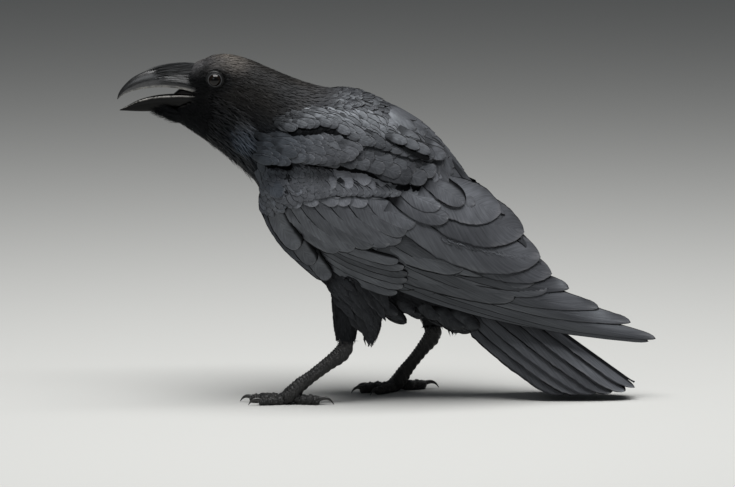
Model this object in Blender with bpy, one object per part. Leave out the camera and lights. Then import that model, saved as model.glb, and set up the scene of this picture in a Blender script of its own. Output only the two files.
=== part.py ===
"""A common raven, life size, standing on flat ground with its bill open, as a museum model.

The bird faces -X, its left side is towards -Y and up is +Z, all in metres. The origin is on the
ground under the middle of the bird. Head, neck and trunk are one loft through slanting ribs, parted by
thin cuts. The folded wings are shells laid on the trunk, the tail is an arched fan of twelve feathers,
and each leg is a feathered thigh, a bare tarsus, four toes and four claws.
"""

import math

import bmesh
import bpy
import numpy as np

# Gaps and wall thicknesses
GAP = 0.0004  # clear space left between two pieces that meet
FEATHER_WALL = 0.0012  # thinnest edge of wing and tail

# Body: one rib after another from the bill's base to the vent. Each is
# (back x, back z, belly x, belly z, half width, how much wider it is above than below).
BODY_RIBS = (
    (-0.1955, 0.3338, -0.2295, 0.2892, 0.0062, 0.30),  # bill base and tip of the chin
    (-0.1905, 0.3374, -0.2165, 0.2828, 0.0125, 0.40),
    (-0.1825, 0.3419, -0.2025, 0.2737, 0.0175, 0.32),
    (-0.1715, 0.3460, -0.1865, 0.2631, 0.0212, 0.28),  # eyes
    (-0.1565, 0.3465, -0.1715, 0.2535, 0.0240, 0.22),  # crown
    (-0.1385, 0.3419, -0.1565, 0.2419, 0.0268, 0.16),
    (-0.1165, 0.3328, -0.1425, 0.2298, 0.0325, 0.06),  # nape and throat hackles
    (-0.0885, 0.3212, -0.1295, 0.2152, 0.0420, 0.00),
    (-0.0615, 0.3136, -0.1215, 0.1949, 0.0500, 0.00),  # breast between the wrists
    (-0.0345, 0.3126, -0.1085, 0.1707, 0.0540, 0.00),
    (-0.0085, 0.3035, -0.0905, 0.1455, 0.0560, 0.00),
    (0.0155, 0.2889, -0.0685, 0.1253, 0.0560, 0.00),  # widest part of the back
    (0.0385, 0.2727, -0.0415, 0.1101, 0.0535, 0.00),
    (0.0575, 0.2515, -0.0145, 0.1000, 0.0490, 0.00),
    (0.0755, 0.2273, 0.0115, 0.0889, 0.0415, -0.05),  # rump, under the wings
    (0.0935, 0.1990, 0.0375, 0.0808, 0.0330, -0.12),
    (0.1105, 0.1710, 0.0615, 0.0747, 0.0250, -0.15),
    (0.1255, 0.1445, 0.0815, 0.0687, 0.0180, -0.15),
    (0.1345, 0.1250, 0.0935, 0.0672, 0.0120, -0.15),  # end of the tail coverts
)
HEAD_END = 5.0  # rib at which the head is parted from the neck
NECK_END = 8.0  # rib at which the neck is parted from the trunk
HEAD_RINGS = 8
NECK_RINGS = 5
TRUNK_RINGS = 13
BODY_SIDES = 24
BODY_FULLNESS = 0.82  # below 1, the sections are fuller than ellipses

# Bill: (ridge x, ridge z, edge x, edge z, half width), from the tip into the head
UPPER_BILL = (
    (-0.2690, 0.3018, -0.2686, 0.3010, 0.0006),
    (-0.2672, 0.3078, -0.2648, 0.3044, 0.0018),
    (-0.2625, 0.3146, -0.2585, 0.3082, 0.0031),
    (-0.2545, 0.3222, -0.2505, 0.3107, 0.0045),
    (-0.2445, 0.3278, -0.2415, 0.3127, 0.0059),
    (-0.2335, 0.3317, -0.2315, 0.3138, 0.0073),
    (-0.2215, 0.3335, -0.2205, 0.3141, 0.0086),
    (-0.2095, 0.3335, -0.2095, 0.3133, 0.0098),
    (-0.1985, 0.3325, -0.1985, 0.3111, 0.0108),
    (-0.1895, 0.3295, -0.1895, 0.3088, 0.0108),
    (-0.1815, 0.3245, -0.1825, 0.3066, 0.0085),
)
LOWER_BILL = (
    (-0.2664, 0.2899, -0.2664, 0.2907, 0.0006),
    (-0.2595, 0.2896, -0.2595, 0.2942, 0.0023),
    (-0.2495, 0.2891, -0.2495, 0.2994, 0.0041),
    (-0.2385, 0.2890, -0.2385, 0.3029, 0.0057),
    (-0.2265, 0.2895, -0.2265, 0.3050, 0.0073),
    (-0.2145, 0.2903, -0.2145, 0.3058, 0.0088),
    (-0.2025, 0.2911, -0.2025, 0.3060, 0.0100),
    (-0.1915, 0.2919, -0.1915, 0.3055, 0.0104),
    (-0.1825, 0.2940, -0.1825, 0.3040, 0.0080),
)
PALATE_DEPTH = 0.25  # hollow between the cutting edges, as a share of the bill's depth
GAPE_CORNER = (-0.1840, 0.3062)  # x and z of the corner of the mouth
GAPE_REACH = 0.040  # how far in front of the corner the mouth is kept open
GAPE_UP = 0.0075  # how far it opens above and below the corner there
GAPE_DOWN = 0.0012

# Eyes
EYE_RADIUS = 0.0072
EYE_CENTRE = (-0.1710, 0.0178, 0.3228)

# Wing: one rib after another from the wrist to the tip of the longest primary, on the right side.
# Each is (top x, y, z, bottom x, y, z, outward bulge, thickness).
WING_RIBS = (
    (-0.1290, 0.0240, 0.2290, -0.1297, 0.0190, 0.2195, 0.0010, 0.0080),
    (-0.1245, 0.0305, 0.2410, -0.1248, 0.0250, 0.2020, 0.0060, 0.0140),
    (-0.1085, 0.0405, 0.2455, -0.1125, 0.0340, 0.1795, 0.0100, 0.0130),
    (-0.0865, 0.0465, 0.2515, -0.0935, 0.0400, 0.1560, 0.0130, 0.0120),
    (-0.0565, 0.0490, 0.2487, -0.0645, 0.0440, 0.1335, 0.0150, 0.0110),
    (-0.0245, 0.0485, 0.2447, -0.0365, 0.0470, 0.1293, 0.0140, 0.0100),
    (0.0135, 0.0445, 0.2350, -0.0045, 0.0470, 0.1180, 0.0150, 0.0100),
    (0.0485, 0.0330, 0.2277, 0.0285, 0.0450, 0.1095, 0.0180, 0.0090),
    (0.0815, 0.0180, 0.2195, 0.0655, 0.0410, 0.1047, 0.0190, 0.0080),
    (0.1115, 0.0070, 0.1970, 0.1015, 0.0370, 0.0990, 0.0175, 0.0065),
    (0.1385, 0.0030, 0.1660, 0.1335, 0.0330, 0.0910, 0.0140, 0.0050),
    (0.1565, 0.0030, 0.1317, 0.1615, 0.0290, 0.0840, 0.0100, 0.0045),
    (0.1755, 0.0050, 0.1128, 0.1885, 0.0250, 0.0773, 0.0070, 0.0040),
    (0.2055, 0.0060, 0.0907, 0.2155, 0.0200, 0.0695, 0.0040, 0.0035),
    (0.2455, 0.0070, 0.0747, 0.2435, 0.0150, 0.0597, 0.0020, 0.0025),
    (0.2690, 0.0080, 0.0607, 0.2635, 0.0110, 0.0560, 0.0005, 0.0015),
)
WING_END = 10.6  # rib at which the primaries are parted from the rest of the wing
WING_ROWS = 15
PRIMARY_ROWS = 7
WING_COLUMNS = 10
SECONDARY_STEPS = 5  # feather edges moulded along the hind part of the wing
STEP_HEIGHT = 0.0009

# Tail: an arched fan, rolled a little towards the bird's left
TAIL_ROOT = (0.0605, -0.0060, 0.1524)
TAIL_LENGTH = 0.2390
TAIL_SLOPE = math.radians(36.0)
TAIL_ROLL = math.radians(12.0)
TAIL_HALF_WIDTHS = (0.014, 0.032, 0.036, 0.038)  # at the stations below
TAIL_DROPS = (0.016, 0.050, 0.050, 0.046)
TAIL_STATIONS = (0.0, 0.30, 0.65, 1.0)
TAIL_START = 0.20  # share of the length that lies hidden in the rump
TAIL_WEDGE = 0.22  # how much shorter the outermost feathers are
TAIL_THICKNESS = 0.0030
RECTRIX_EDGES = (0.0, 0.42, 0.62, 0.76, 0.87, 0.95, 1.0)  # across one half, from the middle out
RECTRIX_STEP = 0.0024  # how much lower the outermost feather lies than the middle one
TIP_ROUNDING = 0.10  # how far back the corners of a tip stand, against the feather's width

# Legs. The left one is set forward, the right one back.
SEAM_HEIGHT = 0.0095  # how far above the ankle the thigh's feathers end
ANKLE_RADIUS = 0.0072
TARSUS_RADIUS = 0.0050
TOE_RADIUS = 0.0047
CLAW_RADIUS = 0.0026
LEG_SIDES = 10
CLAW_SIDES = 6
LEFT_LEG = {
    "knee": (-0.0330, -0.0300, 0.1500),
    "shank": (-0.0410, -0.0390, 0.0850),
    "ankle": (-0.0415, -0.0400, 0.0540),
    "foot": (-0.0935, -0.0400, 0.0140),
    "heading": math.radians(14.0),
}
RIGHT_LEG = {
    "knee": (0.0250, 0.0300, 0.1450),
    "shank": (0.0430, 0.0300, 0.0850),
    "ankle": (0.0480, 0.0310, 0.0600),
    "foot": (0.0140, 0.0440, 0.0140),
    "heading": math.radians(-24.0),
}
THIGH_HALF_LENGTHS = (0.030, 0.030, 0.0205, 0.0135, 0.0120, 0.0100)
THIGH_HALF_WIDTHS = (0.018, 0.018, 0.0140, 0.0110, 0.0098, 0.0080)
# The tuft that hangs behind each thigh: behind the shank, above it, half length and half width
TUFT = (
    (0.0230, 0.0350, 0.0150, 0.0080),
    (0.0235, 0.0150, 0.0135, 0.0070),
    (0.0245, -0.0100, 0.0095, 0.0045),
    (0.0225, -0.0280, 0.0020, 0.0012),
)
# Each toe: turn from the foot's heading, length, claw length, and thickness against the others
TOES = {
    "inner": (math.radians(-27.0), 0.034, 0.015, 0.95),
    "middle": (0.0, 0.043, 0.015, 1.0),
    "outer": (math.radians(25.0), 0.036, 0.014, 0.92),
    "hind": (math.radians(176.0), 0.026, 0.019, 1.05),
}

# Colours: (red, green, blue), roughness
BLACK_PLUMAGE = ((0.030, 0.031, 0.034), 0.55)
BROWN_PLUMAGE = ((0.034, 0.031, 0.029), 0.65)
HORN = ((0.022, 0.022, 0.023), 0.32)
LEG_SKIN = ((0.014, 0.014, 0.014), 0.50)
EYE_BROWN = ((0.010, 0.007, 0.005), 0.06)


# ---------------------------------------------------------------- scene and helpers


def clear_scene():
    for old in list(bpy.data.objects):
        bpy.data.objects.remove(old)


def collection(name):
    made = bpy.data.collections.new(name)
    bpy.context.scene.collection.children.link(made)
    return made


def material(name, finish):
    colour, roughness = finish
    made = bpy.data.materials.new(name)
    made.use_nodes = True
    shader = made.node_tree.nodes["Principled BSDF"]
    shader.inputs["Base Color"].default_value = (*colour, 1.0)
    shader.inputs["Roughness"].default_value = roughness
    return made


def through(rows, at):
    """The row at a fractional index of a table, on a Catmull-Rom curve through its rows."""
    table = np.asarray(rows, float)
    last = len(table) - 1
    i = min(int(at), last - 1)
    f = at - i
    before, here, after, beyond = (table[min(max(i + k, 0), last)] for k in (-1, 0, 1, 2))
    slope_in = (after - before) / 2
    slope_out = (beyond - here) / 2
    return (
        (2 * f**3 - 3 * f**2 + 1) * here
        + (f**3 - 2 * f**2 + f) * slope_in
        + (3 * f**2 - 2 * f**3) * after
        + (f**3 - f**2) * slope_out
    )


def put_in_scene(name, mesh_data, finish, into):
    """Makes the object, with every face pointing out and round parts shaded smooth."""
    mesh = bpy.data.meshes.new(name)
    mesh_data.normal_update()
    bmesh.ops.recalc_face_normals(mesh_data, faces=mesh_data.faces)
    mesh_data.to_mesh(mesh)
    mesh_data.free()
    mesh.shade_smooth()
    mesh.set_sharp_from_angle(angle=math.radians(50))
    mesh.materials.append(finish)
    made = bpy.data.objects.new(name, mesh)
    into.objects.link(made)
    return made


def tube(name, rings, finish, into):
    """A closed loft through rings of points, each end closed by a fan."""
    shape = bmesh.new()
    loops = [[shape.verts.new(point) for point in ring] for ring in rings]
    count = len(loops[0])
    for first, second in zip(loops, loops[1:]):
        for i in range(count):
            j = (i + 1) % count
            shape.faces.new((first[i], first[j], second[j], second[i]))
    for loop, ring in ((loops[0], rings[0]), (loops[-1], rings[-1])):
        hub = shape.verts.new(np.mean(ring, axis=0))
        for i in range(count):
            shape.faces.new((loop[i], loop[(i + 1) % count], hub))
    return put_in_scene(name, shape, finish, into)


def shell(name, outer, inner, finish, into):
    """A closed thick sheet between two grids of points with the same rows and columns."""
    shape = bmesh.new()
    faces = []
    grids = [[[shape.verts.new(p) for p in row] for row in grid] for grid in (outer, inner)]
    rows, columns = len(outer), len(outer[0])
    for grid in grids:
        for r in range(rows - 1):
            for c in range(columns - 1):
                faces.append((grid[r][c], grid[r][c + 1], grid[r + 1][c + 1], grid[r + 1][c]))
    a, b = grids
    for r in range(rows - 1):
        for c in (0, columns - 1):
            faces.append((a[r][c], a[r + 1][c], b[r + 1][c], b[r][c]))
    for c in range(columns - 1):
        for r in (0, rows - 1):
            faces.append((a[r][c], a[r][c + 1], b[r][c + 1], b[r][c]))
    for corners in faces:
        shape.faces.new(corners)
    return put_in_scene(name, shape, finish, into)


def carve(piece, neighbours, cutters, gap=GAP):
    """Cuts from the piece all that its neighbours fill, and a thin gap around them."""
    for neighbour in neighbours:
        bpy.context.view_layer.update()
        evaluated = neighbour.evaluated_get(bpy.context.evaluated_depsgraph_get())
        grown = bpy.data.meshes.new_from_object(evaluated)
        grown.transform(neighbour.matrix_world)
        for vertex, normal in zip(grown.vertices, [v.normal.copy() for v in grown.vertices]):
            vertex.co += normal * gap
        cutter = bpy.data.objects.new(f"{piece.name}_less_{neighbour.name}", grown)
        cutter.display_type = "WIRE"
        cutter.hide_render = True
        cutters.objects.link(cutter)
        cut = piece.modifiers.new(f"less_{neighbour.name}", "BOOLEAN")
        cut.operation = "DIFFERENCE"
        cut.solver = "EXACT"
        cut.object = cutter


# ---------------------------------------------------------------- body


def body_ring(at):
    """The outline of the body in the slanting plane of the rib at this index."""
    back_x, back_z, belly_x, belly_z, half_width, top_heavy = through(BODY_RIBS, at)
    ring = []
    for i in range(BODY_SIDES):
        turn = 2 * math.pi * i / BODY_SIDES
        up = math.cos(turn)
        share = (1 + up) / 2
        x = belly_x + (back_x - belly_x) * share
        z = belly_z + (back_z - belly_z) * share
        side = math.copysign(abs(math.sin(turn)) ** BODY_FULLNESS, math.sin(turn))
        ring.append((x, half_width * side * (1 + top_heavy * up), z))
    return ring


def body_length(name, start, end, count, finish, into):
    """The stretch of the body between two ribs."""
    rings = [body_ring(at) for at in np.linspace(start, end, count)]
    return tube(name, rings, finish, into)


def gape_cutter(cutters, finish):
    """A wedge that keeps the open mouth clear of the head."""
    x, z = GAPE_CORNER
    front = x - GAPE_REACH
    side = 0.05
    shape = bmesh.new()
    corners = [
        (x, z - GAPE_DOWN / 3),
        (x, z + GAPE_DOWN / 3),
        (front, z + GAPE_UP),
        (front, z - GAPE_DOWN),
    ]
    near = [shape.verts.new((cx, -side, cz)) for cx, cz in corners]
    far = [shape.verts.new((cx, side, cz)) for cx, cz in corners]
    shape.faces.new(near)
    shape.faces.new(far[::-1])
    for i in range(4):
        j = (i + 1) % 4
        shape.faces.new((near[i], near[j], far[j], far[i]))
    made = put_in_scene("gape_cutter", shape, finish, cutters)
    made.display_type = "WIRE"
    made.hide_render = True
    return made


# ---------------------------------------------------------------- bill and eyes


def bill_ring(row, sides=11):
    """One section of a half of the bill: an arched outside and a shallow hollow between its edges."""
    ridge_x, ridge_z, edge_x, edge_z, half_width = row
    ring = []
    for i in range(sides):
        turn = math.pi * i / (sides - 1) - math.pi / 2
        up = math.cos(turn) ** 0.85
        x = edge_x + (ridge_x - edge_x) * up
        z = edge_z + (ridge_z - edge_z) * up
        ring.append((x, half_width * math.sin(turn), z))
    for i in range(1, 4):
        across = 1 - i / 2
        up = PALATE_DEPTH * (1 - across**2)
        x = edge_x + (ridge_x - edge_x) * up
        z = edge_z + (ridge_z - edge_z) * up
        ring.append((x, half_width * 0.92 * across, z))
    return ring


def bill_half(name, table, finish, into):
    rings = [bill_ring(row) for row in table]
    return tube(name, rings, finish, into)


def eye(name, side, finish, into):
    x, y, z = EYE_CENTRE
    bpy.ops.mesh.primitive_uv_sphere_add(
        segments=12, ring_count=8, radius=EYE_RADIUS, location=(x, side * y, z)
    )
    made = bpy.context.object
    made.name = name
    made.data.name = name
    made.data.materials.append(finish)
    made.data.shade_smooth()
    for holder in list(made.users_collection):
        holder.objects.unlink(made)
    into.objects.link(made)
    return made


# ---------------------------------------------------------------- wings


def feather_step(along, across):
    """The moulded edges of the flight feathers: a low saw-tooth behind the coverts."""
    start = min(max((along - 0.30) / 0.12, 0.0), 1.0)
    saw = (across * SECONDARY_STEPS) % 1.0
    return STEP_HEIGHT * start * (0.5 - saw)


def wing_length(name, side, start, end, rows, finish, into):
    """The stretch of a folded wing between two ribs, as a bulging shell."""
    outer, inner = [], []
    for at in np.linspace(start, end, rows):
        rib = through(WING_RIBS, at)
        top, bottom, bulge, thickness = rib[:3], rib[3:6], rib[6], rib[7]
        chord = bottom - top
        outward = np.array([0.0, 1.0, 0.0]) - chord * chord[1] / chord.dot(chord)
        outward /= np.linalg.norm(outward)
        outer_row, inner_row = [], []
        for c in range(WING_COLUMNS):
            across = c / (WING_COLUMNS - 1)
            crown = 4 * across * (1 - across)
            wall = FEATHER_WALL + (thickness - FEATHER_WALL) * crown**0.5
            relief = feather_step(at / (len(WING_RIBS) - 1), across) * crown**0.5
            on_chord = top + chord * across
            outer_point = on_chord + outward * (bulge * crown + relief)
            inner_point = on_chord + outward * (bulge * crown - wall)
            inner_point[1] = max(inner_point[1], GAP)
            outer_point[1] = max(outer_point[1], inner_point[1] + FEATHER_WALL / 2)
            outer_row.append((outer_point[0], side * outer_point[1], outer_point[2]))
            inner_row.append((inner_point[0], side * inner_point[1], inner_point[2]))
        outer.append(outer_row)
        inner.append(inner_row)
    return shell(name, outer, inner, finish, into)


# ---------------------------------------------------------------- tail


def tail_point(along, across, sink=0.0):
    """A point of the tail's arched upper face, or a little below it.

    along runs from 0 at the root to 1 at the tip, and across from -1 at the bird's left edge to 1.
    """
    width = np.interp(along, TAIL_STATIONS, TAIL_HALF_WIDTHS)
    drop = np.interp(along, TAIL_STATIONS, TAIL_DROPS)
    side = width * across
    down = drop * across**2
    steep = math.atan2(2 * drop * across, width)
    side -= sink * math.sin(steep)
    down += sink * math.cos(steep)
    rolled_side = side * math.cos(TAIL_ROLL) + down * math.sin(TAIL_ROLL)
    rolled_down = down * math.cos(TAIL_ROLL) - side * math.sin(TAIL_ROLL)
    run = TAIL_LENGTH * along
    x = TAIL_ROOT[0] + run * math.cos(TAIL_SLOPE) - rolled_down * math.sin(TAIL_SLOPE)
    z = TAIL_ROOT[2] - run * math.sin(TAIL_SLOPE) - rolled_down * math.cos(TAIL_SLOPE)
    return [x, TAIL_ROOT[1] + rolled_side, z]


def rested(point, floor):
    """The point, or where it comes to lie when its feather's edge splays out to the left on the ground."""
    x, y, z = point
    below = max(floor - z, 0.0)
    return x, y - below, z + below


def tail(name, finish, into):
    """The folded tail: twelve feathers, the middle pair on top and each outer one a step lower."""
    columns = []
    for feather in range(len(RECTRIX_EDGES) - 1):
        inner_edge, outer_edge = RECTRIX_EDGES[feather : feather + 2]
        for share in (0.02, 0.32, 0.68, 0.98):
            across = inner_edge + (outer_edge - inner_edge) * share
            round_off = TIP_ROUNDING * (outer_edge - inner_edge) * (2 * share - 1) ** 4
            reach = 1 - TAIL_WEDGE * across**3 - round_off
            columns.append((across, reach, inner_edge * RECTRIX_STEP))
    columns = [(-a, r, s) for a, r, s in reversed(columns)] + columns
    rows = 5
    top, under = [], []
    for r in range(rows):
        share = r / (rows - 1)
        top_row, under_row = [], []
        for across, reach, step in columns:
            along = TAIL_START + (reach - TAIL_START) * share
            wall = FEATHER_WALL + (TAIL_THICKNESS - FEATHER_WALL) * (1 - share)
            top_row.append(rested(tail_point(along, across, step), FEATHER_WALL))
            under_row.append(rested(tail_point(along, across, step + wall), 0.0))
        top.append(top_row)
        under.append(under_row)
    return shell(name, top, under, finish, into)


# ---------------------------------------------------------------- legs


def limb(name, path, half_lengths, half_widths, sides, finish, into, steps=3, floor=None, **ends):
    """A tapering limb along a path of points, with an upright oval section that may be flat below.

    ends may give the way the limb runs at its first or its last section, so that a neighbour fits it.
    """
    stations = np.column_stack([np.asarray(path, float), half_lengths, half_widths])
    count = (len(stations) - 1) * steps + 1
    rows = [through(stations, at) for at in np.linspace(0, len(stations) - 1, count)]
    centres = np.array([row[:3] for row in rows])
    runs = np.gradient(centres, axis=0)
    runs[0] = ends.get("first_run", runs[0])
    runs[-1] = ends.get("last_run", runs[-1])
    rings = []
    for row, run in zip(rows, runs):
        forward = run / np.linalg.norm(run)
        sideways = np.cross(forward, (0.0, 0.0, 1.0))
        if np.linalg.norm(sideways) < 0.35:
            sideways = np.array([0.0, 1.0, 0.0])
        sideways -= forward * sideways.dot(forward)
        sideways /= np.linalg.norm(sideways)
        upward = np.cross(sideways, forward)
        ring = []
        for i in range(sides):
            turn = 2 * math.pi * (i + 0.5) / sides
            point = row[:3] + upward * row[3] * math.cos(turn) + sideways * row[4] * math.sin(turn)
            if floor is not None:
                point[2] = max(point[2], floor)
            ring.append(tuple(point))
        rings.append(ring)
    return tube(name, rings, finish, into)


def ankle_seam(leg):
    """Where the feathers of the thigh end above the ankle, and the way the leg runs there."""
    ankle, shank = np.array(leg["ankle"]), np.array(leg["shank"])
    run = (ankle - shank) / np.linalg.norm(ankle - shank)
    return ankle - run * SEAM_HEIGHT, run


def thigh(name, leg, finish, into):
    knee, shank = np.array(leg["knee"]), np.array(leg["shank"])
    seam, run = ankle_seam(leg)
    path = [
        knee + (0.0, 0.0, 0.012),
        knee,
        knee * 0.5 + shank * 0.5,
        shank,
        shank * 0.4 + (seam - run * 0.004) * 0.6,
        seam,
    ]
    lengths, widths = THIGH_HALF_LENGTHS, THIGH_HALF_WIDTHS
    return limb(name, path, lengths, widths, 14, finish, into, steps=2, last_run=run)


def tuft(name, leg, finish, into):
    """The long feathers that hang behind the thigh."""
    shank = np.array(leg["shank"])
    path = [shank + (behind, 0.0, above) for behind, above, _, _ in TUFT]
    tall, wide = [row[2] for row in TUFT], [row[3] for row in TUFT]
    return limb(name, path, tall, wide, LEG_SIDES, finish, into, steps=2)


def tarsus(name, leg, finish, into):
    """The bare shank, from the swollen ankle to the ball of the foot."""
    ankle, foot = np.array(leg["ankle"]), np.array(leg["foot"])
    seam, run = ankle_seam(leg)
    heading = leg["heading"]
    forward = np.array([-math.cos(heading), math.sin(heading), 0.0])
    path = [
        seam + run * GAP,
        ankle - run * 0.0005,
        ankle * 0.83 + foot * 0.17,
        ankle * 0.45 + foot * 0.55,
        ankle * 0.15 + foot * 0.85,
        foot + forward * 0.004 + (0.0, 0.0, -0.0055),
        foot + forward * 0.013 + (0.0, 0.0, -0.0082),
    ]
    tall = [0.0062, ANKLE_RADIUS, TARSUS_RADIUS * 1.12, TARSUS_RADIUS, 0.0064, 0.0072, 0.0040]
    wide = [0.0056, 0.0068, 0.0047, 0.0044, 0.0064, 0.0086, 0.0060]
    return limb(name, path, tall, wide, LEG_SIDES, finish, into, steps=2, floor=0.0, first_run=run)


def toe_path(leg, turn, length, fat):
    """Points along a toe from under the ball of the foot to the root of its claw."""
    foot = np.array(leg["foot"])
    heading = leg["heading"] + turn
    forward = np.array([-math.cos(heading), math.sin(heading), 0.0])
    radius = TOE_RADIUS * fat
    start = np.array([foot[0], foot[1], 0.0])
    return forward, [
        start + forward * length * share + np.array([0.0, 0.0, radius * lift])
        for share, lift in ((0.15, 1.3), (0.40, 0.84), (0.65, 0.88), (0.85, 0.78), (1.0, 0.68))
    ]


def toe(name, leg, turn, length, fat, finish, into):
    _, path = toe_path(leg, turn, length, fat)
    radius = TOE_RADIUS * fat
    radii = [radius * share for share in (1.02, 0.98, 1.04, 0.90, 0.64)]
    return limb(name, path, radii, radii, 8, finish, into, steps=2, floor=0.0)


def claw(name, leg, turn, length, claw_length, fat, finish, into):
    """A curved claw that arches from the end of its toe down to the ground."""
    forward, path = toe_path(leg, turn, length, fat)
    root = path[-1] - forward * 0.0012
    centres, radii = [], []
    for share in np.linspace(0, 1, 5):
        out = claw_length * (1.24 * share * (1 - share) + 0.86 * share**2)
        crest = 2 * share * (1 - share) * (root[2] + 0.28 * claw_length)
        height = root[2] * (1 - share) ** 2 + crest + 0.0004 * share**2
        centres.append((root[0] + forward[0] * out, root[1] + forward[1] * out, height))
        radii.append(CLAW_RADIUS * fat * (1 - 0.86 * share**1.3))
    return limb(name, centres, radii, [r * 0.72 for r in radii], CLAW_SIDES, finish, into, steps=1)


def leg_pieces(side, leg, plumage, skin, horn, into, cutters):
    shank = tarsus(f"tarsus_{side}", leg, skin, into)
    upper = thigh(f"thigh_{side}", leg, plumage, into)
    fringe = tuft(f"thigh_tuft_{side}", leg, plumage, into)
    made_toes = [shank]
    for which in ("middle", "inner", "outer", "hind"):
        turn, length, claw_length, fat = TOES[which]
        turn = turn if side == "left" else -turn
        made = toe(f"toe_{which}_{side}", leg, turn, length, fat, skin, into)
        carve(made, made_toes[:1] if which == "hind" else made_toes, cutters)
        made_toes.append(made)
        nail = claw(f"claw_{which}_{side}", leg, turn, length, claw_length, fat, horn, into)
        carve(nail, [made], cutters)
    return upper, fringe


def main():
    clear_scene()
    bird = collection("raven")
    cutters = collection("cutters")
    plumage = material("black_plumage", BLACK_PLUMAGE)
    brown = material("brown_plumage", BROWN_PLUMAGE)
    horn = material("horn", HORN)
    skin = material("leg_skin", LEG_SKIN)
    iris = material("eye_brown", EYE_BROWN)

    last = len(BODY_RIBS) - 1
    cut = GAP / 0.018 / 2  # half a gap, in ribs, which stand about 18 mm apart
    head = body_length("head", 0, HEAD_END - cut, HEAD_RINGS, brown, bird)
    neck = body_length("neck", HEAD_END + cut, NECK_END - cut, NECK_RINGS, brown, bird)
    trunk = body_length("trunk", NECK_END + cut, last, TRUNK_RINGS, plumage, bird)

    upper = bill_half("bill_upper", UPPER_BILL, horn, bird)
    lower = bill_half("bill_lower", LOWER_BILL, horn, bird)
    eyes = [eye("eye_left", -1, iris, bird), eye("eye_right", 1, iris, bird)]
    carve(head, [upper, lower, gape_cutter(cutters, horn), *eyes], cutters)

    wings = []
    tip = len(WING_RIBS) - 1
    for side, sign in (("left", -1), ("right", 1)):
        each = wing_length(f"wing_{side}", sign, 0, WING_END - cut, WING_ROWS, plumage, bird)
        carve(each, [trunk, neck], cutters)
        wings.append(each)
        wing_length(f"primaries_{side}", sign, WING_END + cut, tip, PRIMARY_ROWS, plumage, bird)
    fan = tail("tail", plumage, bird)
    carve(fan, [trunk], cutters)

    for side, leg, cover in (("left", LEFT_LEG, wings[0]), ("right", RIGHT_LEG, wings[1])):
        upper, fringe = leg_pieces(side, leg, plumage, skin, horn, bird, cutters)
        carve(upper, [trunk, cover], cutters)
        carve(fringe, [upper, trunk, cover], cutters)


main()
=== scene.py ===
"""A common raven as a life-size museum model: its skin, feathers, bill, eyes, legs and claws.

Metres, with +Z up, the bill towards -X and the bird's left side towards -Y.
"""

import math

import bmesh
import bpy
import numpy as np
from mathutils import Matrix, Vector
from mathutils.bvhtree import BVHTree


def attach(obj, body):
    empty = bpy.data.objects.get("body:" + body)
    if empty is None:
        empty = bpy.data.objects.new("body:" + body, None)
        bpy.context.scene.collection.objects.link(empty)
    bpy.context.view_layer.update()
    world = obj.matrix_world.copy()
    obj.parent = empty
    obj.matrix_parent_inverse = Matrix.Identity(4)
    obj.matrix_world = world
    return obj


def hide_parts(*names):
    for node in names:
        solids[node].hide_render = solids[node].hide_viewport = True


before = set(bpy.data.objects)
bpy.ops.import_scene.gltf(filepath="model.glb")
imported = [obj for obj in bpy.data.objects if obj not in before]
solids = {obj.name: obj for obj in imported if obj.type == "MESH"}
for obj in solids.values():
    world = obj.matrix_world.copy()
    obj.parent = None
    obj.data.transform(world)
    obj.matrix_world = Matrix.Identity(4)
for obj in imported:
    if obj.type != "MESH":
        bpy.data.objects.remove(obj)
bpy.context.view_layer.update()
chance = np.random.default_rng(11)

# ------------------------------------------------------------------ skin
# One hide over head, neck, trunk, wings and thighs, with a short dark down, and the only bare places
# are the lids. It lies inside the bird's outline by the depth of the feathers.
FLESH = ("head", "neck", "trunk", "wing_left", "wing_right")
FLESH += ("thigh_left", "thigh_right", "thigh_tuft_left", "thigh_tuft_right")
HIDE_GRAIN = 0.0022  # size of the hide's facets
COAT_DEPTH = 0.0034
THINNEST_SHARE = 0.42  # where the body is thin, the coat takes this share of it from each side
FEATHER_BLACK = (0.030, 0.031, 0.0345, 1.0)
HEAD_BROWN = (0.040, 0.035, 0.030, 1.0)
HACKLE_BLUE = (0.026, 0.032, 0.041, 1.0)
# Where the feathers of the face end: from the chin, past the mouth's corner, to the forehead
FEATHER_LINE_Z = (0.2885, 0.2930, 0.3000, 0.3085, 0.3170, 0.3260, 0.3345)
FEATHER_LINE_X = (-0.2290, -0.2080, -0.1930, -0.1865, -0.1910, -0.1945, -0.1960)
# Tones, each as a share of the tone of the body's feathers. Those of the neck and the face are partly
# painted shade.
DOWN_SHADE = 0.25
NECK_SHADE = 0.22
FACE_SHADE = 0.08
CROWN_WEAR_AND_HIGHLIGHT = 1.6  # added to the neck's on the worn crown, where it is also a painted highlight on the top of the head, and as painted sheen on the light hackles of the throat
HACKLE_SHEEN = 2.4
EYE_RING_SHADE = 0.70  # painted shade, taken off round the eye
THROAT = (-0.148, 0.270)  # x and z of the middle of the hackles' painted sheen, then its half width and height
THROAT_SIZE = (1 / 85.0, 1 / 66.0)
EYE_CENTRE = (-0.1710, 0.0172, 0.3228)  # x, how far out from the middle of the head, and z
EYE_RING_SIZE = (0.010, 0.010)


def shader_group(name, inputs, outputs):
    """An empty shader node group with its two ends. An input is (name, kind, value)."""
    group = bpy.data.node_groups.new(name, "ShaderNodeTree")
    for socket, kind, value in inputs:
        made = group.interface.new_socket(socket, in_out="INPUT", socket_type=f"NodeSocket{kind}")
        if value is not None:
            made.default_value = value
    for socket, kind in outputs:
        group.interface.new_socket(socket, in_out="OUTPUT", socket_type=f"NodeSocket{kind}")
    start = group.nodes.new("NodeGroupInput")
    end = group.nodes.new("NodeGroupOutput")
    return group, start.outputs, end.inputs


def plug(tree, socket, value):
    """Links a socket to another, or sets its value."""
    if isinstance(value, bpy.types.NodeSocket):
        tree.links.new(value, socket)
    else:
        socket.default_value = value


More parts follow.
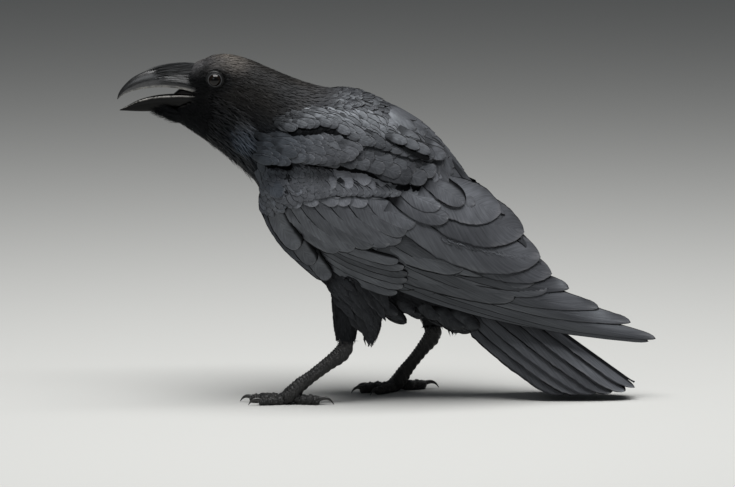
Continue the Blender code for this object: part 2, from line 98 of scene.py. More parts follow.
def node(tree, kind, inputs=None, **settings):
    made = tree.nodes.new(f"ShaderNode{kind}")
    for key, value in settings.items():
        setattr(made, key, value)
    for key, value in (inputs or {}).items():
        plug(tree, made.inputs[key], value)
    return made


def maths(tree, operation, *values):
    made = node(tree, "Math", operation=operation)
    for socket, value in zip(made.inputs, values):
        plug(tree, socket, value)
    return made.outputs[0]


def times(tree, value, *factors):
    """The value times one factor after another."""
    for factor in factors:
        value = maths(tree, "MULTIPLY", value, factor)
    return value


def scaled(tree, value, factor, offset):
    """The value times a factor, plus an offset."""
    return maths(tree, "MULTIPLY_ADD", value, factor, offset)


def rising(tree, value, low, high):
    """0 at low, 1 at high, and smooth between. low may be the greater."""
    ends = {"Value": value, "From Min": low, "From Max": high}
    return node(tree, "MapRange", ends, interpolation_type="SMOOTHSTEP").outputs["Result"]


def mixed(tree, share, first, second, how="MIX"):
    """Two colours mixed, with this share of the second."""
    made = node(tree, "Mix", {0: share, 6: first, 7: second}, data_type="RGBA", blend_type=how)
    return made.outputs[2]


def less(tree, value, other):
    return maths(tree, "SUBTRACT", value, other)


def position(tree):
    return node(tree, "NewGeometry").outputs["Position"]


def from_mesh(tree, name, output="Fac"):
    """What the mesh says of itself at a place, in an attribute."""
    return node(tree, "Attribute", attribute_name=name).outputs[output]


def noise(tree, place, scale, detail):
    made = node(tree, "TexNoise", {"Vector": place, "Scale": scale, "Detail": detail})
    return made.outputs["Fac"]


def bumped(tree, surface, height, strength, distance):
    """Relief on a surface, in metres at full strength."""
    relief = {"Height": height, "Strength": strength, "Distance": distance}
    plug(tree, surface["Normal"], node(tree, "Bump", relief).outputs["Normal"])


def shaded(tree, colour, factor):
    """The colour times a factor, which is a number or a socket."""
    grey = node(tree, "CombineXYZ", {0: factor, 1: factor, 2: factor}).outputs[0]
    return mixed(tree, 1.0, colour, grey, "MULTIPLY")


def squared_distance(tree, place, centre, size):
    """How far a place is from a centre (x, z), squared, and counted in half widths and half heights."""
    off = [
        scaled(tree, place[axis], 1 / reach, -middle / reach)
        for axis, middle, reach in zip("XZ", centre, size)
    ]
    return maths(tree, "ADD", times(tree, off[0], off[0]), times(tree, off[1], off[1]))


def plumage_markings():
    """The coat's colour at a place on the body.

    The crown is brown, worn pale and lightened by a painted highlight, the sides of the head and neck
    are velvety black and darkened further by painted shade, the throat is bluish with painted sheen on
    its hackles, a ring of painted shade lies round the eye, and the rest is black.
    """
    group, given, wanted = shader_group(
        "plumage_markings", [("Place", "Vector", None)], [("Color", "Color")]
    )
    place = node(group, "SeparateXYZ", {0: given["Place"]}).outputs
    x, z = place["X"], place["Z"]
    headward = rising(group, scaled(group, z, -0.55, x), -0.215, -0.295)
    high = rising(group, z, 0.262, 0.312)
    patchy = rising(group, noise(group, given["Place"], 30.0, 3.0), 0.35, 0.65)
    brown = times(group, headward, high, rising(group, x, -0.206, -0.162))
    brown = times(group, brown, scaled(group, patchy, 0.35, 0.65))
    blue = times(group, headward, less(group, 1.0, high))
    colour = mixed(group, blue, FEATHER_BLACK, HACKLE_BLUE)
    colour = mixed(group, brown, colour, HEAD_BROWN)
    # The crown is lighter: its own pale wear and a painted highlight on the top of the head
    crown = times(group, rising(group, z, 0.324, 0.340), rising(group, x, -0.132, -0.166))
    # The sides of the head and neck are darker: their own velvety black and painted shade
    face = rising(group, x, -0.160, -0.182)
    head_tone_and_light = scaled(group, face, FACE_SHADE - NECK_SHADE, NECK_SHADE)
    head_tone_and_light = maths(group, "ADD", head_tone_and_light, times(group, crown, CROWN_WEAR_AND_HIGHLIGHT))
    # Painted sheen: the hackles of the throat are lighter in a patch
    throat = rising(group, squared_distance(group, place, THROAT, THROAT_SIZE), 1.8, 0.2)
    head_tone_and_light = maths(group, "ADD", head_tone_and_light, times(group, throat, HACKLE_SHEEN))
    depth = scaled(group, less(group, head_tone_and_light, 1.0), headward, 1.0)
    # Painted shade in a ring round the eye
    eye_shade_ring = rising(group, squared_distance(group, place, EYE_CENTRE[::2], EYE_RING_SIZE), 1.8, 1.0)
    uneven = times(group, scaled(group, patchy, 0.36, 0.82), depth)
    uneven = times(group, uneven, scaled(group, eye_shade_ring, -EYE_RING_SHADE, 1.0))
    group.links.new(shaded(group, colour, uneven), wanted["Color"])
    return group


MARKINGS = plumage_markings()


def new_material(name):
    made = bpy.data.materials.new(name)
    made.use_nodes = True
    return made, made.node_tree, made.node_tree.nodes["Principled BSDF"].inputs


def skin_material():
    made, tree, surface = new_material("skin_and_down")
    where = position(tree)
    marks = node(tree, "Group", node_tree=MARKINGS)
    tree.links.new(where, marks.inputs["Place"])
    plug(tree, surface["Base Color"], shaded(tree, marks.outputs["Color"], DOWN_SHADE))
    bumped(tree, surface, noise(tree, where, 900.0, 4.0), 0.6, 0.0006)
    surface["Roughness"].default_value = 0.85
    return made


def tree_of(*meshes):
    """One search tree over several meshes."""
    points, faces = [], []
    for mesh in meshes:
        faces += [[v + len(points) for v in face.vertices] for face in mesh.polygons]
        points += [v.co.copy() for v in mesh.vertices]
    return BVHTree.FromPolygons(points, faces)


def link(thing):
    bpy.context.scene.collection.objects.link(thing)
    return thing


def hide_around(name, sources):
    """One closed mesh around the solids, pulled in by the coat's depth and smoothed."""
    points, faces = [], []
    for source in sources:
        mesh = solids[source].data
        faces += [[v + len(points) for v in face.vertices] for face in mesh.polygons]
        points += [v.co.copy() for v in mesh.vertices]
    mesh = bpy.data.meshes.new(name)
    mesh.from_pydata(points, [], faces)
    hide = link(bpy.data.objects.new(name, mesh))
    whole = hide.modifiers.new("whole", "REMESH")
    whole.mode = "VOXEL"
    whole.voxel_size = HIDE_GRAIN
    ease = hide.modifiers.new("ease", "SMOOTH")
    ease.iterations = 3
    graph = bpy.context.evaluated_depsgraph_get()
    outside = bpy.data.meshes.new_from_object(hide.evaluated_get(graph))
    hide.modifiers.clear()
    hide.data = outside
    bpy.data.meshes.remove(mesh)
    outside.name = name
    tree = tree_of(outside)
    pulled = []
    for vertex in outside.vertices:
        inward = -vertex.normal
        across = tree.ray_cast(vertex.co + inward * 1e-4, inward, 0.02)[3]
        depth = min(COAT_DEPTH, THINNEST_SHARE * across) if across else COAT_DEPTH
        pulled.append(vertex.co + inward * depth)
    for vertex, place in zip(outside.vertices, pulled):
        vertex.co = place
    outside.shade_smooth()
    return hide


def uncover_bill(hide):
    """Removes the hide in front of the line where feathers meet horn, and so opens the mouth's corner."""
    mesh = hide.data
    build = bmesh.new()
    build.from_mesh(mesh)
    bare = []
    for face in build.faces:
        middle = face.calc_center_median()
        if middle.x < np.interp(middle.z, FEATHER_LINE_Z, FEATHER_LINE_X):
            bare.append(face)
    bmesh.ops.delete(build, geom=bare, context="FACES")
    build.to_mesh(mesh)
    build.free()


def unwrap(thing):
    """Lays the thing's own shape out flat, in the map that baked colours use."""
    thing.data.uv_layers.new(name="OFBake")
    bpy.ops.object.select_all(action="DESELECT")
    bpy.context.view_layer.objects.active = thing
    thing.select_set(True)
    bpy.ops.object.mode_set(mode="EDIT")
    bpy.ops.mesh.select_all(action="SELECT")
    bpy.ops.uv.smart_project(angle_limit=math.radians(66))
    bpy.ops.object.mode_set(mode="OBJECT")
    thing.select_set(False)


skin = hide_around("skin", FLESH)
uncover_bill(skin)
skin.data.materials.append(skin_material())
unwrap(skin)
skin_tree = tree_of(skin.data)
skin_places = np.empty((len(skin.data.loops), 2), np.float32)
skin.data.uv_layers["OFBake"].data.foreach_get("uv", skin_places.ravel())
skin_places = np.array([skin_places[face.loop_start] for face in skin.data.polygons])
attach(skin, "root")
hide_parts(*FLESH)

# ------------------------------------------------------------------ feathers of head, neck and trunk
# Small vanes in rings from the bill to the tail coverts, each lying over the roots of those behind it:
# hair-fine on the head, lance-shaped on the throat, and round, like scales, on the back.
# They grow out of the skin and lie down backwards along the body.

# The lie of the coat: one slanting rib after another from the bill's base to the vent, each
# (back x, back z, belly x, belly z, half width, how much wider it is above than below).
COAT_RIBS = np.array(
    [
        (-0.1955, 0.3338, -0.2295, 0.2892, 0.0062, 0.30),
        (-0.1905, 0.3374, -0.2165, 0.2828, 0.0125, 0.40),
        (-0.1825, 0.3419, -0.2025, 0.2737, 0.0175, 0.32),
        (-0.1715, 0.3460, -0.1865, 0.2631, 0.0212, 0.28),
        (-0.1565, 0.3465, -0.1715, 0.2535, 0.0240, 0.22),
        (-0.1385, 0.3419, -0.1565, 0.2419, 0.0268, 0.16),
        (-0.1165, 0.3328, -0.1425, 0.2298, 0.0325, 0.06),
        (-0.0885, 0.3212, -0.1295, 0.2152, 0.0420, 0.00),
        (-0.0615, 0.3136, -0.1215, 0.1949, 0.0500, 0.00),
        (-0.0345, 0.3126, -0.1085, 0.1707, 0.0540, 0.00),
        (-0.0085, 0.3035, -0.0905, 0.1455, 0.0560, 0.00),
        (0.0155, 0.2889, -0.0685, 0.1253, 0.0560, 0.00),
        (0.0385, 0.2727, -0.0415, 0.1101, 0.0535, 0.00),
        (0.0575, 0.2515, -0.0145, 0.1000, 0.0490, 0.00),
        (0.0755, 0.2273, 0.0115, 0.0889, 0.0415, -0.05),
        (0.0935, 0.1990, 0.0375, 0.0808, 0.0330, -0.12),
        (0.1105, 0.1710, 0.0615, 0.0747, 0.0250, -0.15),
        (0.1255, 0.1445, 0.0815, 0.0687, 0.0180, -0.15),
        (0.1345, 0.1250, 0.0935, 0.0672, 0.0120, -0.15),
    ]
)
COAT_FULLNESS = 0.82  # below 1, the sections are fuller than ellipses
WORN_RIM = (0.120, 0.118, 0.122, 1.0)
BLUE_GLOSS = (0.86, 0.93, 1.0, 1.0)
LID_REACH = 0.0086  # radius round the eye in which no feather grows
HEAD_SIDE = 0.010  # further out from the middle than this, a place is on a side of the head
DRAPE_REACH = 0.012  # how deep under other feathers or a wing a coat is still lifted out
BROW_HEIGHT = 0.0018
BAKED_VANE = 0.003  # size of one vane on the unwrap of the skin
SHOULDER_LINE = (-0.131, 0.2675, 0.37)  # x where it crosses this z, and how far it leans forward


def vane_finish():
    """The barbs and shaft of a vane, its worn rim, a painted shadow line along its edge, and the shade
    under the next feather.

    The line input is the width of the painted shadow line along the edge, as a share of the half
    width, and Under is the light that is left where the next feather covers this one.
    """
    values = {"Fineness": 60.0, "Covered": 0.4, "Covered Side": 0.0, "Under": 0.1, "Wear": 0.4}
    values.update({"Tone": 0.5, "Line": 0.0, "Contrast": 1.0})
    inputs = [("Color", "Color", (0.03, 0.03, 0.03, 1.0))]
    inputs += [(name, "Float", value) for name, value in values.items()]
    outputs = [("Color", "Color"), ("Relief", "Float"), ("Sheen", "Float")]
    group, given, wanted = shader_group("vane_finish", inputs, outputs)
    vane = node(group, "UVMap", uv_map="vane").outputs["UV"]
    flat = node(group, "SeparateXYZ", {0: vane}).outputs
    across, along = flat["X"], flat["Y"]
    own = times(group, given["Tone"], 90.0)
    off_shaft = maths(group, "ABSOLUTE", scaled(group, across, 2.0, -1.0))
    barb = times(group, scaled(group, off_shaft, -0.22, along), given["Fineness"])
    strand = node(group, "CombineXYZ", {0: barb, 1: times(group, off_shaft, 1.4), 2: own})
    strands = noise(group, strand.outputs[0], 1.0, 3.0)
    cloud = node(group, "CombineXYZ", {0: times(group, along, 3.0), 1: across, 2: own})
    clouds = noise(group, cloud.outputs[0], 1.6, 2.0)
    shaft = rising(group, off_shaft, 0.09, 0.02)
    group.links.new(scaled(group, shaft, 0.8, strands), wanted["Relief"])
    # The worn rim, which begins a quarter of the way along and is rubbed off in patches
    rim = maths(group, "MAXIMUM", rising(group, off_shaft, 0.70, 0.95), rising(group, along, 0.86, 0.97))
    rim = times(group, rim, rising(group, along, 0.25, 0.75), rising(group, clouds, 0.32, 0.62))
    rim = times(group, rim, given["Wear"], rising(group, strands, 0.25, 0.60))
    colour = mixed(group, rim, given["Color"], WORN_RIM)
    # The tone of the whole feather, its barbs and its clouds
    tone = times(group, scaled(group, given["Tone"], 0.50, 0.75), scaled(group, strands, 1.10, 0.45))
    tone = times(group, tone, scaled(group, clouds, 0.90, 0.55))
    tone = scaled(group, less(group, tone, 1.0), given["Contrast"], 1.0)
    # A painted shadow line, along the sides and round the tip
    side_edge = scaled(group, given["Line"], -1.0, 1.0)
    tip_edge = scaled(group, given["Line"], -0.22, 1.0)
    beyond_side = rising(group, less(group, off_shaft, side_edge), -0.02, 0.05)
    beyond_tip = rising(group, less(group, along, tip_edge), -0.005, 0.012)
    line = maths(group, "MAXIMUM", beyond_side, beyond_tip)
    line = times(group, line, scaled(group, rising(group, clouds, 0.35, 0.6), 0.35, 0.58))
    # The shade over the root and over one side, where other feathers lie on this one
    clear = rising(group, less(group, along, given["Covered"]), -0.08, 0.10)
    beside = rising(group, less(group, across, given["Covered Side"]), -0.04, 0.13)
    hidden = less(group, 1.0, times(group, clear, beside))
    hidden = times(group, hidden, less(group, 1.0, given["Under"]))
    open_air = times(group, less(group, 1.0, hidden), less(group, 1.0, line))
    group.links.new(shaded(group, colour, times(group, tone, open_air)), wanted["Color"])
    group.links.new(times(group, open_air, tone), wanted["Sheen"])
    return group


VANE_FINISH = vane_finish()


def feather_material(name, fineness, covered, wear, roughness, **more):
    """A vane's material. Its place on the body and its own tone come from the mesh.

    Its gloss fades in the shade under the next feather. That is a link to the specular level, which
    the export drops, so an exported feather may be glossier than this one.
    """
    made, tree, surface = new_material(name)
    base = node(tree, "Group", node_tree=MARKINGS)
    tree.links.new(from_mesh(tree, "root", "Vector"), base.inputs["Place"])
    vane = node(tree, "Group", node_tree=VANE_FINISH)
    # One number scales the colour for the feather's own tone together with painted light and shade, which
    # makes lit and shaded copies of one black finish
    given = {"Color": shaded(tree, base.outputs["Color"], more.get("brightness", 1.0))}
    given.update({"Tone": from_mesh(tree, "tone"), "Fineness": fineness, "Covered": covered, "Wear": wear})
    given.update({"Covered Side": more.get("covered_side", -1.0), "Under": more.get("under", 0.10)})
    # line sets the width of the painted shadow line along the vane's edge
    given.update({"Line": more.get("line", 0.0), "Contrast": more.get("contrast", 1.0)})
    for socket, value in given.items():
        plug(tree, vane.inputs[socket], value)
    plug(tree, surface["Base Color"], vane.outputs["Color"])
    bumped(tree, surface, vane.outputs["Relief"], more.get("relief", 0.35), 0.0003)
    gloss = times(tree, vane.outputs["Sheen"], more.get("gloss", 0.5))
    plug(tree, surface["Specular IOR Level"], gloss)
    surface["Roughness"].default_value = roughness
    surface["Specular Tint"].default_value = BLUE_GLOSS
    return made


def smooth_between(table, at):
    """Rows of a table at fractional indices, on a Catmull-Rom curve, and straight on past its ends."""
    at = np.asarray(at, float)
    last = len(table) - 1
    inside = np.clip(at, 0, last)
    i = np.minimum(inside.astype(int), last - 1)
    f = (inside - i)[..., None]
    before, here, after, beyond = (table[np.clip(i + k, 0, last)] for k in (-1, 0, 1, 2))
    slope_in = (after - before) / 2
    slope_out = (beyond - here) / 2
    value = (
        (2 * f**3 - 3 * f**2 + 1) * here
        + (f**3 - 2 * f**2 + f) * slope_in
        + (3 * f**2 - 2 * f**3) * after
        + (f**3 - f**2) * slope_out
    )
    over = at - inside
    end_slope = np.where((over > 0)[..., None], table[-1] - table[-2], table[1] - table[0])
    return value + over[..., None] * end_slope


def unit(vectors):
    return vectors / np.maximum(np.linalg.norm(vectors, axis=-1, keepdims=True), 1e-12)


def coat_surface(at, turn):
    """Points on the outside of the coat. turn runs from the back, over the right side, to the belly."""
    rib = smooth_between(COAT_RIBS, at)
    up = np.cos(turn)
    share = (1 + up) / 2
    side = np.copysign(np.abs(np.sin(turn)) ** COAT_FULLNESS, np.sin(turn))
    x = rib[..., 2] + (rib[..., 0] - rib[..., 2]) * share
    z = rib[..., 3] + (rib[..., 1] - rib[..., 3]) * share
    y = np.maximum(rib[..., 4], 0.003) * side * (1 + rib[..., 5] * up)
    return np.stack([x, y, z], axis=-1)


def coat_frame(at, turn):
    """The coat's surface, the way backwards along it, and the way out of it."""
    small = 0.02
    here = coat_surface(at, turn)
    back = (coat_surface(at + small, turn) - coat_surface(at - small, turn)) / (2 * small)
    round_it = coat_surface(at, turn + small) - coat_surface(at, turn - small)
    out = unit(np.cross(back, round_it))
    inward = (out * (here - coat_surface(at, turn + math.pi))).sum(-1, keepdims=True) < 0
    return here, back, np.where(inward, -out, out)


def bake_places(roots):
    """Where each root lies on the unwrap of the skin."""
    faces = [skin_tree.find_nearest(Vector(root))[2] for root in roots]
    return skin_places[faces]


def feather_mesh(name, grid, material, flipped=None):
    """Joins vanes into one piece. grid holds each vane's points as (feather, along, across, xyz)."""
    count, rows, columns, _ = grid.shape
    corner = np.arange(rows - 1)[:, None] * columns + np.arange(columns - 1)
    quads = np.stack([corner, corner + columns, corner + columns + 1, corner + 1], axis=-1)
    quads = quads.reshape(-1, 4)
    faces = (quads[None] + (np.arange(count) * rows * columns)[:, None, None]).reshape(-1)
    mesh = bpy.data.meshes.new(name)
    mesh.vertices.add(count * rows * columns)
    mesh.vertices.foreach_set("co", grid.astype(np.float32).ravel())
    mesh.loops.add(len(faces))
    mesh.loops.foreach_set("vertex_index", faces.astype(np.int32))
    mesh.polygons.add(len(faces) // 4)
    mesh.polygons.foreach_set("loop_start", np.arange(0, len(faces), 4, dtype=np.int32))
    mesh.update(calc_edges=True)
    mesh.shade_smooth()
    across, along = np.meshgrid(np.linspace(0, 1, columns), np.linspace(0, 1, rows) ** 0.75)
    vane = np.tile(np.stack([across, along], axis=-1), (count, 1, 1, 1))
    if flipped is not None:
        vane[flipped, ..., 0] = 1 - vane[flipped, ..., 0]
    vane = vane.reshape(-1, 2)
    roots = grid[:, 0, columns // 2]
    bake = np.repeat(bake_places(roots), rows * columns, axis=0) + vane * BAKED_VANE
    for layer, values in (("vane", vane), ("OFBake", bake)):
        mesh.uv_layers.new(name=layer).data.foreach_set("uv", values[faces].astype(np.float32).ravel())
    root_of = np.repeat(roots, rows * columns, axis=0).astype(np.float32)
    mesh.attributes.new("root", "FLOAT_VECTOR", "POINT").data.foreach_set("vector", root_of.ravel())
    tone_of = np.repeat(chance.uniform(0, 1, count), rows * columns).astype(np.float32)
    mesh.attributes.new("tone", "FLOAT", "POINT").data.foreach_set("value", tone_of)
    mesh.materials.append(material)
    made = link(bpy.data.objects.new(name, mesh))
    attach(made, "root")
    return made


def along_steps(rows):
    """Shares of a vane's length, closer together towards its tip."""
    return 1 - (1 - np.linspace(0, 1, rows)) ** 1.4


def round_outline(t):
    """The half width of a rounded body feather along its length, as a share of the widest."""
    grow = 0.45 + 0.55 * np.clip(t / 0.5, 0, 1) ** 0.8
    close = np.clip((t - 0.58) / 0.42, 0, 1)
    return grow * np.sqrt(np.maximum(1 - close**2.2, 0.0004))


def lance_outline(t):
    """The half width of a narrow pointed feather."""
    grow = 0.5 + 0.5 * np.clip(t / 0.35, 0, 1)
    return np.maximum(grow * (1 - np.clip((t - 0.35) / 0.65, 0, 1) ** 1.6), 0.03)


def along_normals(path, side, normal, half, height, camber, ragged):
    """The points of vanes, from their paths, widths and heights over the coat."""
    count, rows = half.shape
    columns = 5 if camber else 3
    s = np.linspace(-1, 1, columns)
    uneven = 1 + chance.normal(0, ragged, (count, rows, columns))
    wide = s * half[..., None] * uneven
    rise = height[..., None] - camber * half[..., None] * s**2
    return path[:, :, None] + side[:, :, None] * wide[..., None] + normal[:, :, None] * rise[..., None]


def draped(path, normal, height, tree):
    """Heights raised where feathers would sink into what lies beside them, and eased along each one."""
    raised = height.copy()
    for i, feather in enumerate(path):
        for j, point in enumerate(feather):
            out = Vector(normal[i, j])
            gap = tree.ray_cast(Vector(point) + out * DRAPE_REACH, -out, DRAPE_REACH)[3]
            if gap is not None:
                raised[i, j] = max(raised[i, j], DRAPE_REACH - gap + 0.0008)
    for _ in range(2):
        eased = np.pad(raised, ((0, 0), (1, 1)), mode="edge")
        raised = np.maximum(raised, (eased[:, :-2] + eased[:, 2:]) / 2)
    return raised


def parted(path):
    """Points of a path moved round the eyes, so that no feather crosses them."""
    x, z = path[..., 0] - EYE_CENTRE[0], path[..., 2] - EYE_CENTRE[2]
    gap = np.maximum(np.hypot(x, z), 1e-6)
    push = np.where((gap < LID_REACH) & (np.abs(path[..., 1]) > HEAD_SIDE), LID_REACH / gap, 1.0)
    return np.stack([EYE_CENTRE[0] + x * push, path[..., 1], EYE_CENTRE[2] + z * push], axis=-1)


def brow(path):
    """How far the coat swells in a ridge over the eyes and behind them."""
    x, z = path[..., 0] - EYE_CENTRE[0], path[..., 2] - EYE_CENTRE[2]
    ridge = np.exp(-(((np.hypot(x, z) - 0.0112) / 0.0020) ** 2))
    above = np.clip(0.35 + np.sin(np.arctan2(z, x)), 0, 1)
    return BROW_HEIGHT * ridge * above * (np.abs(path[..., 1]) > 0.008)


def coat_tract(name, start, end, spacing, length, width, outline, material, keep, **look):
    """Rings of feathers between two ribs.

    spacing gives the room round the body and along it, and length and width a feather's size, each as
    a function of the rib. keep says which of them grow, from their places and turns. sink is how deep
    the roots lie, lift how far the tips stand off, and ruffle how far the feathers stray and twist.
    """
    rows = look.get("rows", 6)
    ruffle = look.get("ruffle", 0.25)
    at = start
    ring = 0
    every_at, every_turn = [], []
    probe = np.linspace(0, 2 * math.pi, 48, endpoint=False)  # turns at which a ring is measured
    while at < end:
        points, back, _ = coat_frame(np.full_like(probe, at), probe)
        girth = np.linalg.norm(np.roll(points, -1, 0) - points, axis=1)
        count = max(6, int(girth.sum() / spacing(at)[0]))
        walked = np.concatenate([[0], np.cumsum(girth)]) / girth.sum()
        spots = (np.arange(count) + 0.5 * (ring % 2) + chance.uniform(-0.25, 0.25, count)) / count
        every_turn.append(np.interp(spots % 1.0, walked, np.append(probe, 2 * math.pi)))
        step = spacing(at)[1] / np.linalg.norm(back, axis=1).mean()
        every_at.append(at + step * chance.uniform(-0.35, 0.35, count))
        at += step
        ring += 1
    at, turn = np.concatenate(every_at), np.concatenate(every_turn)
    here, back, out = coat_frame(at, turn)
    kept = keep(here, out, at, turn)
    at, turn, back = at[kept], turn[kept], back[kept]
    count = len(at)
    size = chance.uniform(0.85, 1.15, count)
    t = along_steps(rows)
    reach = (length(at) * size / np.linalg.norm(back, axis=1))[:, None] * t
    drift = chance.normal(0, 0.09 * ruffle, count)[:, None] * t
    path, _, normal = coat_frame(at[:, None] + reach, turn[:, None] + drift)
    path = parted(path)
    side = unit(np.cross(normal, np.gradient(path, axis=1)))
    side = unit(side + normal * chance.normal(0, ruffle * 0.3, count)[:, None, None])
    half = (width(at) * size)[:, None] / 2 * outline(t)[None]
    sink = look.get("sink", 0.0024)
    lift = look.get("lift", 0.0) * chance.uniform(0.4, 1.6, count)
    height = (sink + lift)[:, None] * t**1.2 - sink + brow(path)
    if "over" in look:
        height = draped(path, normal, height, look["over"])
    grid = along_normals(
        path, side, normal, half, height, look.get("camber", 0.0), look.get("ragged", 0.05)
    )
    return feather_mesh(name, grid, material)


wing_trees = {side: tree_of(solids[f"wing_{side}"].data) for side in ("left", "right")}
both_wings = tree_of(solids["wing_left"].data, solids["wing_right"].data)


def clear_of_wings(here, out, depth=0.02):
    """True where no wing lies over the place."""
    free = []
    for point, way in zip(here, out):
        tree = wing_trees["right" if point[1] > 0 else "left"]
        outward = Vector(way)
        free.append(tree.ray_cast(Vector(point) - outward * 0.002, outward, depth)[0] is None)
    return np.array(free)


def before_shoulder(here):
    """Whether a hackle grows far enough forward to end in front of the shoulder."""
    x, z, lean = SHOULDER_LINE
    return here[..., 0] + lean * (z - here[..., 2]) < x


def clear_of_face(here, out, at, turn):
    """True where no eye opens and the skin isn't bare horn."""
    x, z = np.abs(here[:, 0] - EYE_CENTRE[0]), here[:, 2] - EYE_CENTRE[2]
    on_eye = (np.hypot(x, z) < LID_REACH) & (np.abs(here[:, 1]) > HEAD_SIDE)
    on_horn = here[:, 0] < np.interp(here[:, 2], FEATHER_LINE_Z, FEATHER_LINE_X)
    return ~on_eye & ~on_horn


head_coat = feather_material(
    "head_coat", 12.0, 0.20, 0.25, 0.62, gloss=0.13, under=0.50, relief=0.2, contrast=0.6
)
neck_coat = feather_material(
    "neck_coat", 16.0, 0.20, 0.10, 0.62, gloss=0.12, under=0.70, relief=0.2, contrast=0.45
)
hackle_coat = feather_material(
    "hackle_coat", 18.0, 0.30, 0.40, 0.45, brightness=0.95, gloss=0.2, under=0.05
)
back_coat = feather_material("back_coat", 22.0, 0.42, 0.60, 0.52, brightness=0.72, line=0.16, gloss=0.3)
# The belly and the vent are painted darker, as shade under the body
belly_coat = feather_material("belly_coat", 30.0, 0.40, 0.0, 0.65, brightness=0.25, gloss=0.06)
vent_coat = feather_material("vent_coat", 30.0, 0.30, 0.25, 0.55, brightness=0.5, gloss=0.25, line=0.12)

coat_tract(
    "head_feathers",
    0.75,
    5.3,
    lambda at: (0.00115 + 0.00010 * at, 0.0015 + 0.0001 * at),
    lambda at: 0.0042 + 0.0010 * at,
    lambda at: 0.0011 + 0.00013 * at,
    lance_outline,
    head_coat,
    clear_of_face,
    rows=4,
    sink=0.0016,
    ruffle=0.45,
)
coat_tract(
    "neck_feathers",
    5.2,
    8.9,
    lambda at: (0.0017 + 0.0003 * (at - 5), 0.0024 + 0.0004 * (at - 5)),
    lambda at: 0.0115 + 0.0015 * (at - 5),
    lambda at: 0.0021 + 0.0006 * (at - 5),
    lance_outline,
    neck_coat,
    lambda here, out, at, turn: clear_of_wings(here, out),
    rows=5,
    sink=0.0018,
    ruffle=0.25,
)
coat_tract(
    "throat_hackles",
    3.2,
    8.4,
    lambda at: (0.0023, 0.0044),
    lambda at: 0.013 + 0.0012 * (at - 3),
    lambda at: 0.00125 + 0.0001 * (at - 3),
    lance_outline,
    hackle_coat,
    lambda here, out, at, turn: (np.cos(turn) < 0.04 - 0.05 * (at - 5)) & before_shoulder(here),
    rows=7,
    sink=0.0008,
    lift=0.0022,
    ruffle=0.6,
)
coat_tract(
    "back_feathers",
    8.0,
    15.4,
    lambda at: (0.0052 + 0.0007 * (at - 8), 0.0050 + 0.0007 * (at - 8)),
    lambda at: 0.016 + 0.0016 * (at - 8),
    lambda at: 0.0078 + 0.0010 * (at - 8),
    round_outline,
    back_coat,
    lambda here, out, at, turn: clear_of_wings(here, out, 0.006) & (np.cos(turn) > 0.2),
    rows=7,
    camber=0.12,
    lift=0.0004,
    ruffle=0.35,
    over=both_wings,
)
coat_tract(
    "belly_feathers",
    8.0,
    18.0,
    lambda at: (0.0056, 0.0060),
    lambda at: 0.024 + 0.0008 * (at - 8),
    lambda at: 0.0085,
    lance_outline,
    belly_coat,
    lambda here, out, at, turn: clear_of_wings(here, out) & (np.cos(turn) < 0.1),
    rows=7,
    camber=0.2,
    ruffle=0.6,
)

# ------------------------------------------------------------------ wings
# Each folded wing is a fan of stiff black quills under rows of coverts that lie like tiles on a roof.
# Every row is rooted under the one before it, and the feathers nearer the back lie over the others.
PLAN_STEP = 0.003  # spacing of the grid on which the wing's bulge is measured
FAR_OUT = 0.5  # a distance beyond the whole bird
# How far the right wing's quills, and its coverts and scapulars near the back, are folded lower
FAR_FOLD = (-0.006, 0.0008, -0.003)
FAR_BACK = (-0.003, 0.0010, -0.008)


